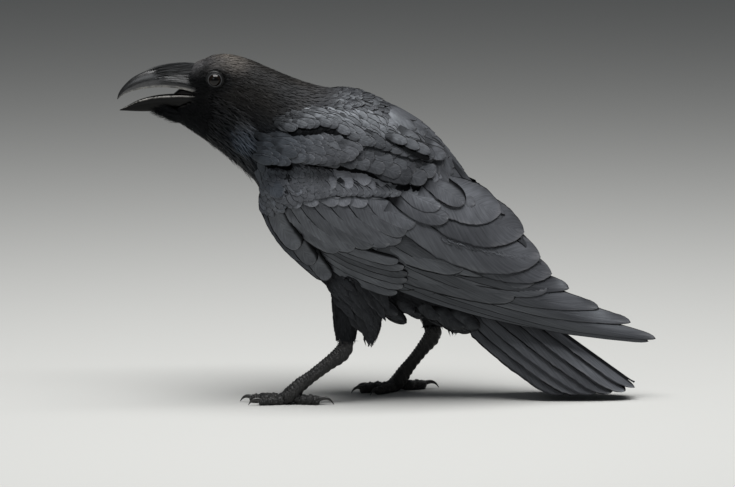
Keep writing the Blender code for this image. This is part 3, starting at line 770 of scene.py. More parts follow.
class Relief:
    """How far out solids reach, measured square on over a grid, so that feathers can be laid on them.

    From the near or the far side a place is (x, z) and the reach is towards -Y or +Y. From above it is
    (x, y) and the reach is towards +Z.
    """

    def __init__(self, names, view, across, up, smoothing):
        trees = [tree_of(solids[name].data) for name in names]
        self.view = view
        self.u = np.arange(*across, PLAN_STEP)
        self.v = np.arange(*up, PLAN_STEP)
        field = np.full((len(self.u), len(self.v)), np.nan if names else 0.0)
        for i, u in enumerate(self.u):
            for j, v in enumerate(self.v):
                place = self.placed(u, v, FAR_OUT)
                gaps = [tree.ray_cast(place, -self.placed(0, 0, 1))[3] for tree in trees]
                gaps = [gap for gap in gaps if gap is not None]
                if gaps:
                    field[i, j] = FAR_OUT - min(gaps)
        while np.isnan(field).any():
            mean, known = self.blurred(field)
            field = np.where(np.isnan(field) & known, mean, field)
        for _ in range(smoothing):
            field = self.blurred(field)[0]
        self.field = field

    def placed(self, u, v, reach):
        if self.view == "above":
            return Vector((u, v, reach))
        return Vector((u, -reach if self.view == "near" else reach, v))

    @staticmethod
    def blurred(field):
        """Each value's mean with those around it, leaving out unknown ones."""
        padded = np.pad(field, 1, constant_values=np.nan)
        rows, columns = field.shape
        near = np.stack([padded[a : a + rows, b : b + columns] for a in range(3) for b in range(3)])
        known = ~np.isnan(near)
        return np.where(known, near, 0).sum(0) / np.maximum(known.sum(0), 1), known.any(0)

    def at(self, u, v):
        """The reach at any place, read between the grid's points."""
        across = np.clip((u - self.u[0]) / PLAN_STEP, 0, len(self.u) - 1.001)
        up = np.clip((v - self.v[0]) / PLAN_STEP, 0, len(self.v) - 1.001)
        i, j = across.astype(int), up.astype(int)
        f, g = across - i, up - j
        low = self.field[i, j] * (1 - f) + self.field[i + 1, j] * f
        high = self.field[i, j + 1] * (1 - f) + self.field[i + 1, j + 1] * f
        return low * (1 - g) + high * g

    def lay(self, u, v, height):
        """Points at a height over the solids."""
        small = 0.004
        slope_u = (self.at(u + small, v) - self.at(u - small, v)) / (2 * small)
        slope_v = (self.at(u, v + small) - self.at(u, v - small)) / (2 * small)
        reach, one = self.at(u, v), np.ones_like(u)
        if self.view == "above":
            point, out = (u, v, reach), (-slope_u, -slope_v, one)
        else:
            side = -1 if self.view == "near" else 1
            point, out = (u, side * reach, v), (-slope_u, side * one, -slope_v)
        return np.stack(point, axis=-1) + unit(np.stack(out, axis=-1)) * height[..., None]


WING_RELIEF = Relief(("wing_left", "primaries_left"), "near", (-0.150, 0.290), (0.035, 0.335), 3)
FLANK_RELIEF = Relief(("wing_left", "trunk", "neck"), "near", (-0.150, 0.290), (0.035, 0.335), 4)


def quill_outline(t):
    """The half width of a long quill feather: nearly parallel edges and a rounded tip."""
    grow = 0.55 + 0.45 * np.clip(t / 0.35, 0, 1)
    close = np.clip((t - 0.82) / 0.18, 0, 1)
    return grow * np.sqrt(np.maximum(1 - close**2.2, 0.0006))


def blade_outline(t):
    """The half width of a primary: its end is cut aslant, so that the folded wing's outline is smooth."""
    grow = 0.6 + 0.4 * np.clip(t / 0.3, 0, 1)
    taper = 1 - 0.76 * np.clip((t - 0.68) / 0.32, 0, 1) ** 1.1
    close = np.clip((t - 0.96) / 0.04, 0, 1)
    return grow * taper * np.sqrt(np.maximum(1 - close**2.0, 0.0006))


def tertial_outline(t):
    """The half width of a tertial: broad, and round over its last third."""
    grow = 0.5 + 0.5 * np.clip(t / 0.4, 0, 1)
    close = np.clip((t - 0.60) / 0.40, 0, 1)
    return grow * np.maximum(1 - close**1.8, 0.0006) ** 0.6


def laid_vanes(feathers, relief, outline, rows=12, columns=7, **look):
    """The points of feathers laid over a relief, each from its row of sizes.

    A row is (root u, root v, tip u, tip v, width, bow, height at the root, height at the tip). bow is
    how far the shaft bends to the right of its way, and heights are counted out from the relief. upper
    and lower narrow the vane to the left and to the right of its shaft.
    """
    table = np.array(feathers, float)
    t = along_steps(rows)
    s = np.linspace(-1, 1, columns)
    run = table[:, 2:4] - table[:, 0:2]
    heading = unit(run)
    right = np.stack([heading[:, 1], -heading[:, 0]], axis=1)
    bow = table[:, 5][:, None] * 4 * t * (1 - t)
    shaft = table[:, None, 0:2] + run[:, None] * t[None, :, None] + right[:, None] * bow[..., None]
    way = unit(np.gradient(shaft, axis=1))
    across = np.stack([way[..., 1], -way[..., 0]], axis=-1)
    half = table[:, 4][:, None] / 2 * outline(t)[None]
    uneven = 1 + chance.normal(0, look.get("ragged", 0.015), (len(table), rows, columns))
    reach = np.where(s < 0, look.get("upper", 1.0), look.get("lower", 1.0)) * s * half[..., None] * uneven
    plan = shaft[:, :, None] + across[:, :, None] * reach[..., None]
    rise = table[:, 6][:, None] + (table[:, 7] - table[:, 6])[:, None] * t
    rise = rise[..., None] + look.get("tilt", 0.0005) * s - look.get("camber", 0.0006) * s**2
    return relief.lay(plan[..., 0], plan[..., 1], rise)


def on_both_sides(name, grid, material, right_by=(0.0, 0.0, 0.0)):
    """The vanes of the left side and their mirror images, in one piece.

    right_by moves those of the right wing, which is folded a little lower than the left one.
    """
    mirrored = grid[:, :, ::-1] * (1, -1, 1) + right_by
    flipped = np.repeat([False, True], len(grid))
    feather_mesh(name, np.concatenate([grid, mirrored]), material, flipped)


def wing_feathers(name, sizes, outline, material, rows, right_by=(0.0, 0.0, 0.0), **look):
    """Feathers laid on the left wing from their sizes, and their mirror images on the right one."""
    on_both_sides(name, laid_vanes(sizes, WING_RELIEF, outline, rows, **look), material, right_by)


def spread(first, last, count):
    """Rows of sizes spread evenly from the first to the last."""
    share = np.linspace(0, 1, count)[:, None]
    return np.array(first, float) * (1 - share) + np.array(last, float) * share


def sized(places, first, last):
    """Places (root u, root v, tip u, tip v), each with sizes spread from the first row to the last."""
    return np.hstack([np.array(places), spread(first, last, len(places))])


def shingles(top, bottom, rows, count, width, lean, heights, stretch=1.8, stray=0.25):
    """Rows of sizes for feathers whose tips fill the band between two lines of (u, v) points.

    width and lean run from the band's start to its end, and heights holds those at the root and the tip
    for the first row, whose tips follow the top line, and for the last, which follows the bottom one.
    """
    top, bottom = np.array(top), np.array(bottom)
    sizes = []
    for row in range(rows):
        down = row / max(rows - 1, 1)
        for place in range(count):
            back = (place + 0.5 * (row % 2) + chance.uniform(-stray, stray)) / (count - 0.5)
            lower = down + chance.uniform(-stray, stray) / rows * (0.3 if row == rows - 1 else 1.0)
            ends = [line[0, 0] + (line[-1, 0] - line[0, 0]) * back for line in (top, bottom)]
            u = ends[0] * (1 - down) + ends[1] * down
            v = np.interp(u, *top.T) * (1 - lower) + np.interp(u, *bottom.T) * lower
            wide = np.interp(back, (0, 1), width) * chance.uniform(0.85, 1.2)
            turn = math.radians(np.interp(back, np.linspace(0, 1, len(lean)), lean) + chance.normal(0, 5))
            long = stretch * wide * chance.uniform(0.9, 1.15)
            root = (u - long * math.cos(turn), v - long * math.sin(turn))
            low, high = (first * (1 - down) + last * down for first, last in zip(*heights))
            sizes.append((*root, u, v, wide, 0.03 * long, low, high))
    return sizes


# Copies of one black finish, each made lighter by the painted light on its part of the wing
primary_black = feather_material("primary_black", 60.0, 0.0, 0.45, 0.44, line=0.10, brightness=1.45)
secondary_black = feather_material(
    "secondary_black", 55.0, 0.0, 0.40, 0.44, covered_side=0.25, line=0.13, brightness=1.55
)
tertial_black = feather_material("tertial_black", 55.0, 0.0, 0.45, 0.44, line=0.07, brightness=1.8)
covert_black = feather_material(
    "covert_black", 30.0, 0.22, 0.45, 0.46, covered_side=0.14, line=0.13, brightness=1.9
)
greater_black = feather_material("greater_black", 30.0, 0.0, 0.45, 0.46, line=0.13, brightness=2.1)
scale_black = feather_material(
    "scale_black", 14.0, 0.30, 0.45, 0.52, line=0.17, brightness=2.2, contrast=0.7, under=0.20
)
median_black = feather_material(
    "median_black", 26.0, 0.30, 0.45, 0.50, line=0.03, brightness=3.6, under=0.60
)

# Primaries, from the outermost, which lies lowest and under the others, to the innermost
primaries = sized(
    [
        (-0.039, 0.142, 0.219, 0.0690),
        (-0.033, 0.146, 0.262, 0.0585),
        (-0.025, 0.150, 0.2690, 0.0610),
        (-0.017, 0.154, 0.2440, 0.0775),
        (-0.009, 0.161, 0.2120, 0.0920),
        (0.003, 0.171, 0.1820, 0.1120),
    ],
    (0.028, 0.010, -0.0014, -0.0010),
    (0.040, 0.009, 0.0002, 0.0008),
)
wing_feathers("primaries", primaries, blade_outline, primary_black, 30, FAR_FOLD, lower=0.5)

# Secondaries, from the outermost to the innermost. The last two show mainly on the right wing.
secondaries = sized(
    [
        (-0.046, 0.163, 0.128, 0.1075),
        (-0.045, 0.168, 0.161, 0.1140),
        (-0.044, 0.173, 0.148, 0.1225),
        (-0.043, 0.177, 0.139, 0.1310),
        (-0.041, 0.181, 0.112, 0.1370),
        (-0.039, 0.185, 0.077, 0.1400),
        (-0.035, 0.190, 0.090, 0.1500),
        (-0.025, 0.196, 0.146, 0.1480),
        (-0.010, 0.204, 0.138, 0.1640),
    ],
    (0.024, 0.008, -0.0016, 0.0007),
    (0.026, 0.006, -0.0012, 0.0016),
)
wing_feathers("secondaries", secondaries, quill_outline, secondary_black, 26, FAR_FOLD, upper=0.45)

# Primary coverts: narrow strips under the wing's fore edge
strips = spread(
    (-0.068, 0.150, 0.011, 0.1140, 0.015, 0.004, -0.0016, 0.0010),
    (-0.066, 0.175, 0.012, 0.1477, 0.015, 0.004, -0.0012, 0.0024),
    6,
)
strips[:, 2] += 0.010 * np.sin(np.linspace(0, math.pi, 6))
wing_feathers("primary_coverts", strips, quill_outline, secondary_black, 16, upper=0.6)

# Tertials, the broad inner quills, from the lowest to the one nearest the back
tertials = [
    (0.020, 0.186, 0.164, 0.1265, 0.040, 0.004, 0.0008, 0.0018),
    (0.001, 0.205, 0.152, 0.1430, 0.054, 0.007, 0.0018, 0.0030),
    (0.022, 0.211, 0.135, 0.1680, 0.050, 0.001, 0.0024, 0.0040),
    (0.033, 0.220, 0.111, 0.1880, 0.042, 0.000, 0.0030, 0.0048),
]
wing_feathers(
    "tertials", tertials, tertial_outline, tertial_black, 30, FAR_FOLD, columns=13, tilt=0.0006
)

# Barbs that have come loose along the lowest tertial
loose_barbs = spread(
    (0.052, 0.1700, 0.060, 0.1630, 0.0016, 0.0004, 0.0030, 0.0030),
    (0.138, 0.1440, 0.150, 0.1395, 0.0016, 0.0004, 0.0030, 0.0030),
    46,
)
loose_barbs[:, 0:4] += chance.normal(0, 0.0012, (46, 4))
wing_feathers("loose_barbs", loose_barbs, lance_outline, tertial_black, 5, FAR_FOLD, columns=3)

# Three rounded coverts in the hollow between the tertials, the greater coverts and the shoulder
hollow_coverts = [
    (0.004, 0.2130, 0.060, 0.1869, 0.026, 0.002, 0.0020, 0.0046),
    (0.010, 0.2220, 0.052, 0.1985, 0.022, 0.002, 0.0020, 0.0044),
    (0.032, 0.2290, 0.0745, 0.1990, 0.023, -0.001, 0.0030, 0.0064),
]
wing_feathers("tertial_coverts", hollow_coverts, round_outline, covert_black, 16, FAR_BACK, columns=9)

# Greater coverts, from the foremost to the hindmost, which lies over the others
greater = sized(
    [
        (-0.098, 0.1990, -0.046, 0.1595),
        (-0.092, 0.2030, -0.031, 0.1612),
        (-0.083, 0.2060, -0.013, 0.1646),
        (-0.071, 0.2085, 0.004, 0.1662),
        (-0.056, 0.2110, 0.015, 0.1690),
        (-0.038, 0.2130, 0.020, 0.1777),
        (-0.018, 0.2150, 0.029, 0.1860),
    ],
    (0.020, 0.006, 0.0006, 0.0016),
    (0.024, 0.005, 0.0012, 0.0028),
)
wing_feathers("greater_coverts", greater, quill_outline, greater_black, 20, upper=0.7)

# Median coverts: three rows of rounded feathers over the roots of the greater ones
medians = shingles(
    ((-0.100, 0.2120), (-0.060, 0.2180), (-0.013, 0.2260), (0.026, 0.2230)),
    (
        (-0.100, 0.1970),
        (-0.073, 0.2040),
        (-0.040, 0.2050),
        (-0.018, 0.2035),
        (-0.010, 0.2150),
        (0.026, 0.2130),
    ),
    3,
    8,
    (0.017, 0.022),
    (-48, -38, -24),
    ((-0.0020, 0.0020), (-0.0010, 0.0022)),
)
wing_feathers("median_coverts", medians, round_outline, median_black, 12, camber=0.0003, ragged=0.03)

# The thumb's three lobed feathers over the strips of the wing's fore edge
fore_edge = spread(
    (-0.1240, 0.1960, -0.057, 0.1263, 0.015, 0.005, -0.0012, 0.0012),
    (-0.1250, 0.2080, -0.081, 0.1450, 0.014, 0.006, -0.0016, 0.0018),
    3,
)
thumb = spread(
    (-0.083, 0.1682, -0.0565, 0.1275, 0.018, 0.002, 0.0012, 0.0026),
    (-0.115, 0.2049, -0.0855, 0.1595, 0.022, 0.004, -0.0010, 0.0042),
    3,
)
edge_feathers = np.concatenate([fore_edge, thumb])
wing_feathers("thumb_and_fore_edge", edge_feathers, quill_outline, covert_black, 16, ragged=0.03)

# The lesser coverts: scales in uneven rows from the wrist back, growing from row to row
lesser = shingles(
    (
        (-0.1220, 0.2310),
        (-0.094, 0.2310),
        (-0.088, 0.2395),
        (-0.036, 0.2310),
        (-0.011, 0.2270),
        (0.034, 0.2180),
    ),
    (
        (-0.1215, 0.1910),
        (-0.112, 0.1880),
        (-0.100, 0.1945),
        (-0.085, 0.2050),
        (-0.050, 0.2130),
        (0.034, 0.2130),
    ),
    11,
    29,
    (0.0072, 0.0135),
    (-72, -48, -28, -20),
    ((-0.0032, -0.0002), (0.0006, 0.0027)),
    stretch=1.9,
    stray=0.35,
)
wing_feathers(
    "lesser_coverts", lesser, round_outline, scale_black, 9, camber=0.0002, tilt=0.0002, ragged=0.04
)

# ------------------------------------------------------------------ shoulder feathers
# The scapulars hang from the shoulder over the wing's upper edge in a lobe and a long fringe,
# and the feathers of the mantle lie over them in turn. They are lifted, so that dark gaps show,
# and near-black feathers in those gaps paint more shadow there.


def shoulder_vanes(name, sizes, outline, material, rows, columns, right_by=(0.0, 0.0, 0.0), **look):
    """Small feathers laid over the shoulder of each side, from the sizes of the left one's."""
    grid = laid_vanes(sizes, FLANK_RELIEF, outline, rows, columns, **look)
    on_both_sides(name, grid, material, right_by)


# Copies of one black finish lit by painted light; the hind feathers, which face the sky, are painted
# lightest
shoulder_black = feather_material(
    "shoulder_black", 24.0, 0.30, 0.45, 0.50, line=0.10, brightness=1.15, under=0.45
)
hind_black = feather_material(
    "hind_black", 24.0, 0.25, 0.45, 0.48, line=0.10, brightness=2.4, under=0.40, contrast=0.8
)
# Near-black feathers that paint the shadow in the gaps
gap_shadow_black = feather_material("gap_shadow_black", 24.0, 0.20, 0.0, 0.60, brightness=0.07, gloss=0.05)
mantle_black = feather_material(
    "mantle_black", 18.0, 0.34, 0.50, 0.52, line=0.15, brightness=1.2, under=0.40
)
lobe_black = feather_material(
    "lobe_black", 18.0, 0.34, 0.50, 0.52, line=0.10, brightness=1.75, under=0.55, contrast=0.8
)

# The fringe over the wing's upper edge, and the pale feathers that go on behind it to the rump
fringe = shingles(
    ((-0.070, 0.2600), (-0.030, 0.2640), (0.000, 0.2640), (0.045, 0.2540)),
    ((-0.070, 0.2475), (-0.036, 0.2430), (-0.011, 0.2400), (0.020, 0.2290), (0.042, 0.2245)),
    5,
    9,
    (0.012, 0.017),
    (-10, -22, -26),
    ((0.0012, 0.0042), (0.0050, 0.0072)),
    stretch=2.2,
)
hind = shingles(
    ((0.026, 0.2500), (0.049, 0.2410), (0.075, 0.2140), (0.092, 0.1960)),
    ((0.022, 0.2290), (0.050, 0.2230), (0.075, 0.2060), (0.092, 0.1920)),
    5,
    6,
    (0.015, 0.017),
    (-26, -36, -44),
    ((-0.0022, 0.0022), (0.0014, 0.0048)),
    stretch=2.4,
)

# The lobe of small scapulars over the wrist, and the feathers along the lower edge of the mantle
lobe = shingles(
    ((-0.108, 0.2640), (-0.083, 0.2725), (-0.058, 0.2755), (-0.040, 0.2710), (-0.024, 0.2600)),
    (
        (-0.110, 0.2440),
        (-0.093, 0.2430),
        (-0.0905, 0.2530),
        (-0.073, 0.2480),
        (-0.045, 0.2450),
        (-0.024, 0.2540),
    ),
    7,
    15,
    (0.0085, 0.0120),
    (-16, -6, -12, -22),
    ((0.0044, 0.0056), (0.0070, 0.0086)),
    stretch=2.0,
    stray=0.4,
)
overhang = shingles(
    ((-0.092, 0.2860), (-0.060, 0.2920), (-0.010, 0.2850), (0.030, 0.2680), (0.050, 0.2560)),
    (
        (-0.094, 0.2730),
        (-0.083, 0.2775),
        (-0.060, 0.2808),
        (-0.045, 0.2775),
        (-0.030, 0.2675),
        (0.000, 0.2560),
        (0.050, 0.2430),
    ),
    8,
    17,
    (0.0085, 0.0130),
    (-14, -22, -30, -34),
    ((-0.0010, 0.0024), (0.0058, 0.0076)),
    stretch=2.0,
    stray=0.45,
)
# Three raised feathers roof the dark notch between the mantle and the fringe
overhang += [
    (-0.004, 0.2680, 0.016, 0.2590, 0.0090, -0.001, 0.0075, 0.0104),
    (0.006, 0.2650, 0.028, 0.2530, 0.0090, -0.001, 0.0075, 0.0104),
    (0.016, 0.2605, 0.038, 0.2480, 0.0090, -0.001, 0.0075, 0.0104),
]
shoulder_vanes(
    "shoulder_feathers", fringe, quill_outline, shoulder_black, 14, 9, tilt=0.0003, ragged=0.025
)
shoulder_vanes(
    "hind_shoulder_feathers", hind, round_outline, hind_black, 14, 9, FAR_BACK, tilt=0.0002, ragged=0.025
)
for name, sizes, finish in (
    ("shoulder_lobe", lobe, lobe_black),
    ("mantle_edge", overhang, mantle_black),
):
    shoulder_vanes(
        name, sizes, round_outline, finish, 10, 7, tilt=0.0001, camber=0.0003, ragged=0.03
    )

# Near-black feathers that paint the shadow in the gaps: under the lobe and the fringe, and over the lobe
# under the mantle's edge
GAP_UNDER_LOBE = (
    (-0.113, 0.2385),
    (-0.0925, 0.2380),
    (-0.0900, 0.2475),
    (-0.073, 0.2430),
    (-0.036, 0.2385),
    (-0.011, 0.2350),
    (0.008, 0.2270),
    (0.024, 0.2170),
    (0.042, 0.2190),
)
GAP_OVER_LOBE = ((-0.088, 0.2722), (-0.080, 0.2732), (-0.058, 0.2765), (-0.045, 0.2732), (-0.034, 0.2665))
NOTCH = (0.006, 0.2610, 0.038, 0.2430, 0.0075, -0.001, 0.0080, 0.0094)  # one dark wedge paints the shadow in the notch
under_lobe = shingles(
    GAP_UNDER_LOBE,
    GAP_UNDER_LOBE,
    1,
    30,
    (0.0085, 0.0140),
    (-44, -34, -24),
    ((-0.0010, 0.0030),) * 2,
    stray=0.3,
)
over_lobe = shingles(
    GAP_OVER_LOBE, GAP_OVER_LOBE, 1, 14, (0.0075, 0.0090), (-8, -30), ((0.0050, 0.0064),) * 2, stretch=1.5
)
# The vanes that paint the shadow in the gaps
down = [
    laid_vanes(sizes, relief, round_outline, 10, 7, camber=0.0003, ragged=0.06)
    for sizes, relief in ((under_lobe, WING_RELIEF), (over_lobe + [NOTCH], FLANK_RELIEF))
]
on_both_sides("shadow_feathers_in_the_gaps", np.concatenate(down), gap_shadow_black)

# ------------------------------------------------------------------ rump
# Loose rounded feathers between the folded wings, which lie over the wings' inner edges and the
# root of the tail, so that no gap opens along the back.
UNDER_RUMP = ("trunk", "wing_left", "wing_right", "tail")
RUMP_RELIEF = Relief(UNDER_RUMP, "above", (0.000, 0.200), (-0.080, 0.080), 5)
rump = shingles(
    ((0.030, -0.036), (0.090, -0.025), (0.130, -0.012), (0.166, -0.005)),
    ((0.030, 0.038), (0.090, 0.030), (0.130, 0.026), (0.152, 0.021), (0.166, 0.010)),
    12,
    15,
    (0.015, 0.017),
    (0, 0),
    ((0.0014, 0.0042), (0.0014, 0.0042)),
    stretch=2.2,
    stray=0.4,
)
# Two more on each side, over the gap at the inner edge of the folded wing
rump += [(0.062, side * 0.014, 0.100, side * 0.012, 0.015, 0, 0.0040, 0.0056) for side in (-1, 1)]
rump += [(0.081, side * 0.0145, 0.115, side * 0.012, 0.015, 0, 0.0042, 0.0062) for side in (-1, 1)]
grid = laid_vanes(rump, RUMP_RELIEF, round_outline, 10, 7, camber=0.0008, tilt=0.0, ragged=0.04)
feather_mesh("rump_feathers", grid, mantle_black)

# ------------------------------------------------------------------ tail
# Twelve broad quills in a fan that arches like a roof, the middle pair on top of all the others.
TAIL_ROOT = (0.0605, -0.0060, 0.1524)
TAIL_LENGTH = 0.2390
TAIL_SLOPE = math.radians(36.0)
TAIL_ROLL = math.radians(12.0)
TAIL_STATIONS = (0.0, 0.30, 0.65, 1.0)
TAIL_HALF_WIDTHS = (0.014, 0.032, 0.036, 0.038)
TAIL_DROPS = (0.016, 0.050, 0.050, 0.046)
QUILL_EDGES = (0.0, 0.40, 0.58, 0.72, 0.83, 0.92, 1.0)  # outer edges of six quills, from the middle
QUILL_OVERLAP = 0.22  # how far each lies under the one above it
MIDDLE_OVERLAP = 0.06  # how far the middle pair cross
QUILL_STEP = 0.0013  # how much lower each lies than the one above it
QUILL_SLOPE = 0.0022  # how much lower the inner edge of each lies than its outer one
TAIL_START = 0.12  # share of the length at which the quills come out of the rump
TAIL_WEDGE = 0.22  # how much shorter the outermost quills are


def tail_surface(along, across, sink):
    """Points on the arched upper face of the tail, or a little below it, resting on the ground."""
    width = np.interp(along, TAIL_STATIONS, TAIL_HALF_WIDTHS)
    drop = np.interp(along, TAIL_STATIONS, TAIL_DROPS)
    steep = np.arctan2(2 * drop * across, width)
    side = width * across - sink * np.sin(steep)
    down = drop * across**2 + sink * np.cos(steep)
    rolled_side = side * math.cos(TAIL_ROLL) + down * math.sin(TAIL_ROLL)
    rolled_down = down * math.cos(TAIL_ROLL) - side * math.sin(TAIL_ROLL)
    run = TAIL_LENGTH * along
    x = TAIL_ROOT[0] + run * math.cos(TAIL_SLOPE) - rolled_down * math.sin(TAIL_SLOPE)
    z = TAIL_ROOT[2] - run * math.sin(TAIL_SLOPE) - rolled_down * math.cos(TAIL_SLOPE)
    below = np.maximum(0.0004 - z, 0.0)
    return np.stack([x, TAIL_ROOT[1] + rolled_side - below, z + below], axis=-1)


def tail_outline(t):
    """The half width of a tail quill, which broadens towards a round end."""
    grow = 0.70 + 0.30 * np.clip(t / 0.8, 0, 1)
    close = np.clip((t - 0.86) / 0.14, 0, 1)
    return grow * np.sqrt(np.maximum(1 - close**2.0, 0.0006))


def tail_quills():
    """The points of the twelve quills, six on the left and then six on the right, from the middle out."""
    rows, columns = 40, 9
    t = along_steps(rows)[:, None]
    s = np.linspace(0, 1, columns)[None]
    grids = []
    for side in (-1, 1):
        for i in range(6):
            inner = max(QUILL_EDGES[i] - QUILL_OVERLAP, 0.0) if i else -MIDDLE_OVERLAP
            outer = QUILL_EDGES[i + 1]
            reach = 1.0 - TAIL_WEDGE * outer**3 - chance.uniform(0.0, 0.018)
            middle, half = (inner + outer) / 2, (outer - inner) / 2
            ragged = 1 + chance.normal(0, 0.02, (rows, columns))
            gathered = 1.0 + 0.05 * np.sin(math.pi * t)
            across = side * (middle + (2 * s - 1) * half * tail_outline(t) * ragged) * gathered
            along = TAIL_START + (reach - TAIL_START) * t + 0 * s
            sink = QUILL_STEP * i + QUILL_SLOPE * (1 - s) - 0.0008
            grids.append(tail_surface(along, across, sink))
    return np.array(grids)


# The tail's finish is made lighter by painted light
tail_black = feather_material(
    "tail_black", 60.0, 0.0, 0.45, 0.44, covered_side=0.40, line=0.12, brightness=1.75
)
quills = tail_quills()
quills[6:] = quills[6:, :, ::-1]
flipped = np.repeat([False, True], 6)
tail = feather_mesh("tail_quills", quills, tail_black, flipped)
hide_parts("tail", "primaries_left", "primaries_right")

# The under tail coverts: broad soft lobes that hang between the thighs and the tail
MIDDLE_PLANE = Relief((), "near", (-0.060, 0.160), (0.040, 0.160), 0)
vent_lobes = []
for layer in (0.004, 0.016, 0.026):
    near = np.array(
        [
            (-0.020, 0.118, 0.021, 0.0757, 0.016, 0.004, layer, layer),
            (0.010, 0.112, 0.040, 0.0790, 0.014, 0.004, layer, layer),
            (0.028, 0.108, 0.064, 0.0727, 0.017, 0.004, layer, layer),
            (0.044, 0.104, 0.086, 0.0650, 0.019, 0.005, layer, layer),
            (0.062, 0.102, 0.104, 0.0640, 0.018, 0.005, layer, layer),
        ]
    )
    near[:, 2] -= 0.35 * layer
    near[:, 3] += 0.45 * layer
    vent_lobes.append(near)
vent_lobes = np.concatenate(vent_lobes)
vent_lobes[:, 0:4] += chance.normal(0, 0.0012, vent_lobes[:, 0:4].shape)
grid = laid_vanes(vent_lobes, MIDDLE_PLANE, round_outline, 14, 9, camber=0.0030, tilt=0.0, ragged=0.03)
on_both_sides("under_tail_coverts", grid, vent_coat)

# ------------------------------------------------------------------ bill
# Two halves of black horn over bone, slightly glossy, the upper one hooked at its tip, with cutting
# edges that are pale from wear and a painted highlight; the lower half is painted darker, as shade.
# They are rooted in the skull, under the feathers of the face.

# Each half: (ridge x, ridge z, edge x, edge z, half width), from the tip into the head
UPPER_BILL = np.array(
    [
        (-0.2690, 0.3018, -0.2686, 0.3010, 0.0006),
        (-0.2672, 0.3078, -0.2648, 0.3044, 0.0018),
        (-0.2625, 0.3146, -0.2585, 0.3082, 0.0031),
        (-0.2545, 0.3222, -0.2505, 0.3107, 0.0045),
        (-0.2445, 0.3278, -0.2415, 0.3127, 0.0059),
        (-0.2335, 0.3317, -0.2315, 0.3138, 0.0073),
        (-0.2215, 0.3335, -0.2205, 0.3141, 0.0086),
        (-0.2095, 0.3335, -0.2095, 0.3133, 0.0098),
        (-0.1985, 0.3325, -0.1985, 0.3111, 0.0108),
        (-0.1895, 0.3295, -0.1895, 0.3088, 0.0108),
        (-0.1815, 0.3245, -0.1825, 0.3066, 0.0085),
    ]
)
LOWER_BILL = np.array(
    [
        (-0.2664, 0.2899, -0.2664, 0.2907, 0.0006),
        (-0.2595, 0.2896, -0.2595, 0.2942, 0.0023),
        (-0.2495, 0.2891, -0.2495, 0.2994, 0.0041),
        (-0.2385, 0.2890, -0.2385, 0.3029, 0.0057),
        (-0.2265, 0.2895, -0.2265, 0.3050, 0.0073),
        (-0.2145, 0.2903, -0.2145, 0.3058, 0.0088),
        (-0.2025, 0.2911, -0.2025, 0.3060, 0.0100),
        (-0.1915, 0.2919, -0.1915, 0.3055, 0.0104),
        (-0.1825, 0.2940, -0.1825, 0.3040, 0.0080),
    ]
)
PALATE_DEPTH = 0.25  # hollow between the cutting edges, as a share of the bill's depth
HORN_BLACK = (0.045, 0.045, 0.046, 1.0)
# The lower half's horn is painted darker than the upper's, as shade
LOWER_HORN_SHADED = (0.005, 0.005, 0.005, 1.0)
# The pale cutting edges: worn horn and a painted highlight
HORN_WORN_AND_HIGHLIGHT = (0.30, 0.29, 0.27, 1.0)


def bill_surface(table, at, turn):
    """Points on the outside of half a bill. turn runs from one cutting edge over the ridge to the other."""
    row = smooth_between(table, at)
    up = np.maximum(np.cos(turn), 0.0) ** 0.85
    x = row[..., 2] + (row[..., 0] - row[..., 2]) * up
    z = row[..., 3] + (row[..., 1] - row[..., 3]) * up
    return np.stack([x, row[..., 4] * np.sin(turn), z], axis=-1)


def bands(count, sides):
    """The quads between closed rings of points, which follow one another in a list."""
    i = np.arange(count - 1)[:, None] * sides
    j = np.arange(sides)
    k = (j + 1) % sides
    return np.stack([i + j, i + sides + j, i + sides + k, i + k], axis=-1).reshape(-1, 4)


def lofted(name, rings, material, marks=None):
    """A closed smooth mesh through rings of points. marks is one value a point, for the material."""
    rings = np.asarray(rings, float)
    count, sides, _ = rings.shape
    points = rings.reshape(-1, 3)
    points = np.concatenate([points, rings[[0, -1]].mean(axis=1)])
    hub, start = count * sides, (count - 1) * sides
    first = [(j, (j + 1) % sides, hub) for j in range(sides)]
    last = [(start + (j + 1) % sides, start + j, hub + 1) for j in range(sides)]
    mesh = bpy.data.meshes.new(name)
    mesh.from_pydata(points.tolist(), [], bands(count, sides).tolist() + first + last)
    mesh.validate()
    mesh.shade_smooth()
    if marks is not None:
        values = np.append(np.asarray(marks, float).ravel(), [0.0, 0.0]).astype(np.float32)
        mesh.attributes.new("mark", "FLOAT", "POINT").data.foreach_set("value", values)
    mesh.materials.append(material)
    made = link(bpy.data.objects.new(name, mesh))
    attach(made, "root")
    return made


def horn_material(name, black, gloss, streaked=0.9):
    """Black horn with fine lengthwise streaks, and cutting edges pale from wear and a painted highlight.
    The mark is 1 on a cutting edge and -1 inside the mouth.
    """
    made, tree, surface = new_material(name)
    where, mark = position(tree), from_mesh(tree, "mark")
    stretched = node(tree, "Mapping", {"Vector": where, "Scale": (90.0, 700.0, 700.0)}).outputs["Vector"]
    streaks = noise(tree, stretched, 1.0, 4.0)
    scuffs = noise(tree, where, 260.0, 3.0)
    # Pale cutting edges: worn horn and a painted highlight
    edge = times(tree, rising(tree, mark, 0.55, 1.0), rising(tree, scuffs, 0.30, 0.60))
    colour = mixed(tree, edge, black, HORN_WORN_AND_HIGHLIGHT)
    colour = shaded(tree, colour, scaled(tree, streaks, streaked, 1 - streaked / 2))
    colour = shaded(tree, colour, rising(tree, mark, -0.6, -0.1))
    plug(tree, surface["Base Color"], colour)
    plug(tree, surface["Roughness"], scaled(tree, scuffs, 0.22, 0.24))
    bumped(tree, surface, streaks, 0.25, 0.0002)
    surface["Specular IOR Level"].default_value = gloss
    surface["Coat Weight"].default_value = 0.6 * gloss
    surface["Coat Roughness"].default_value = 0.22
    return made


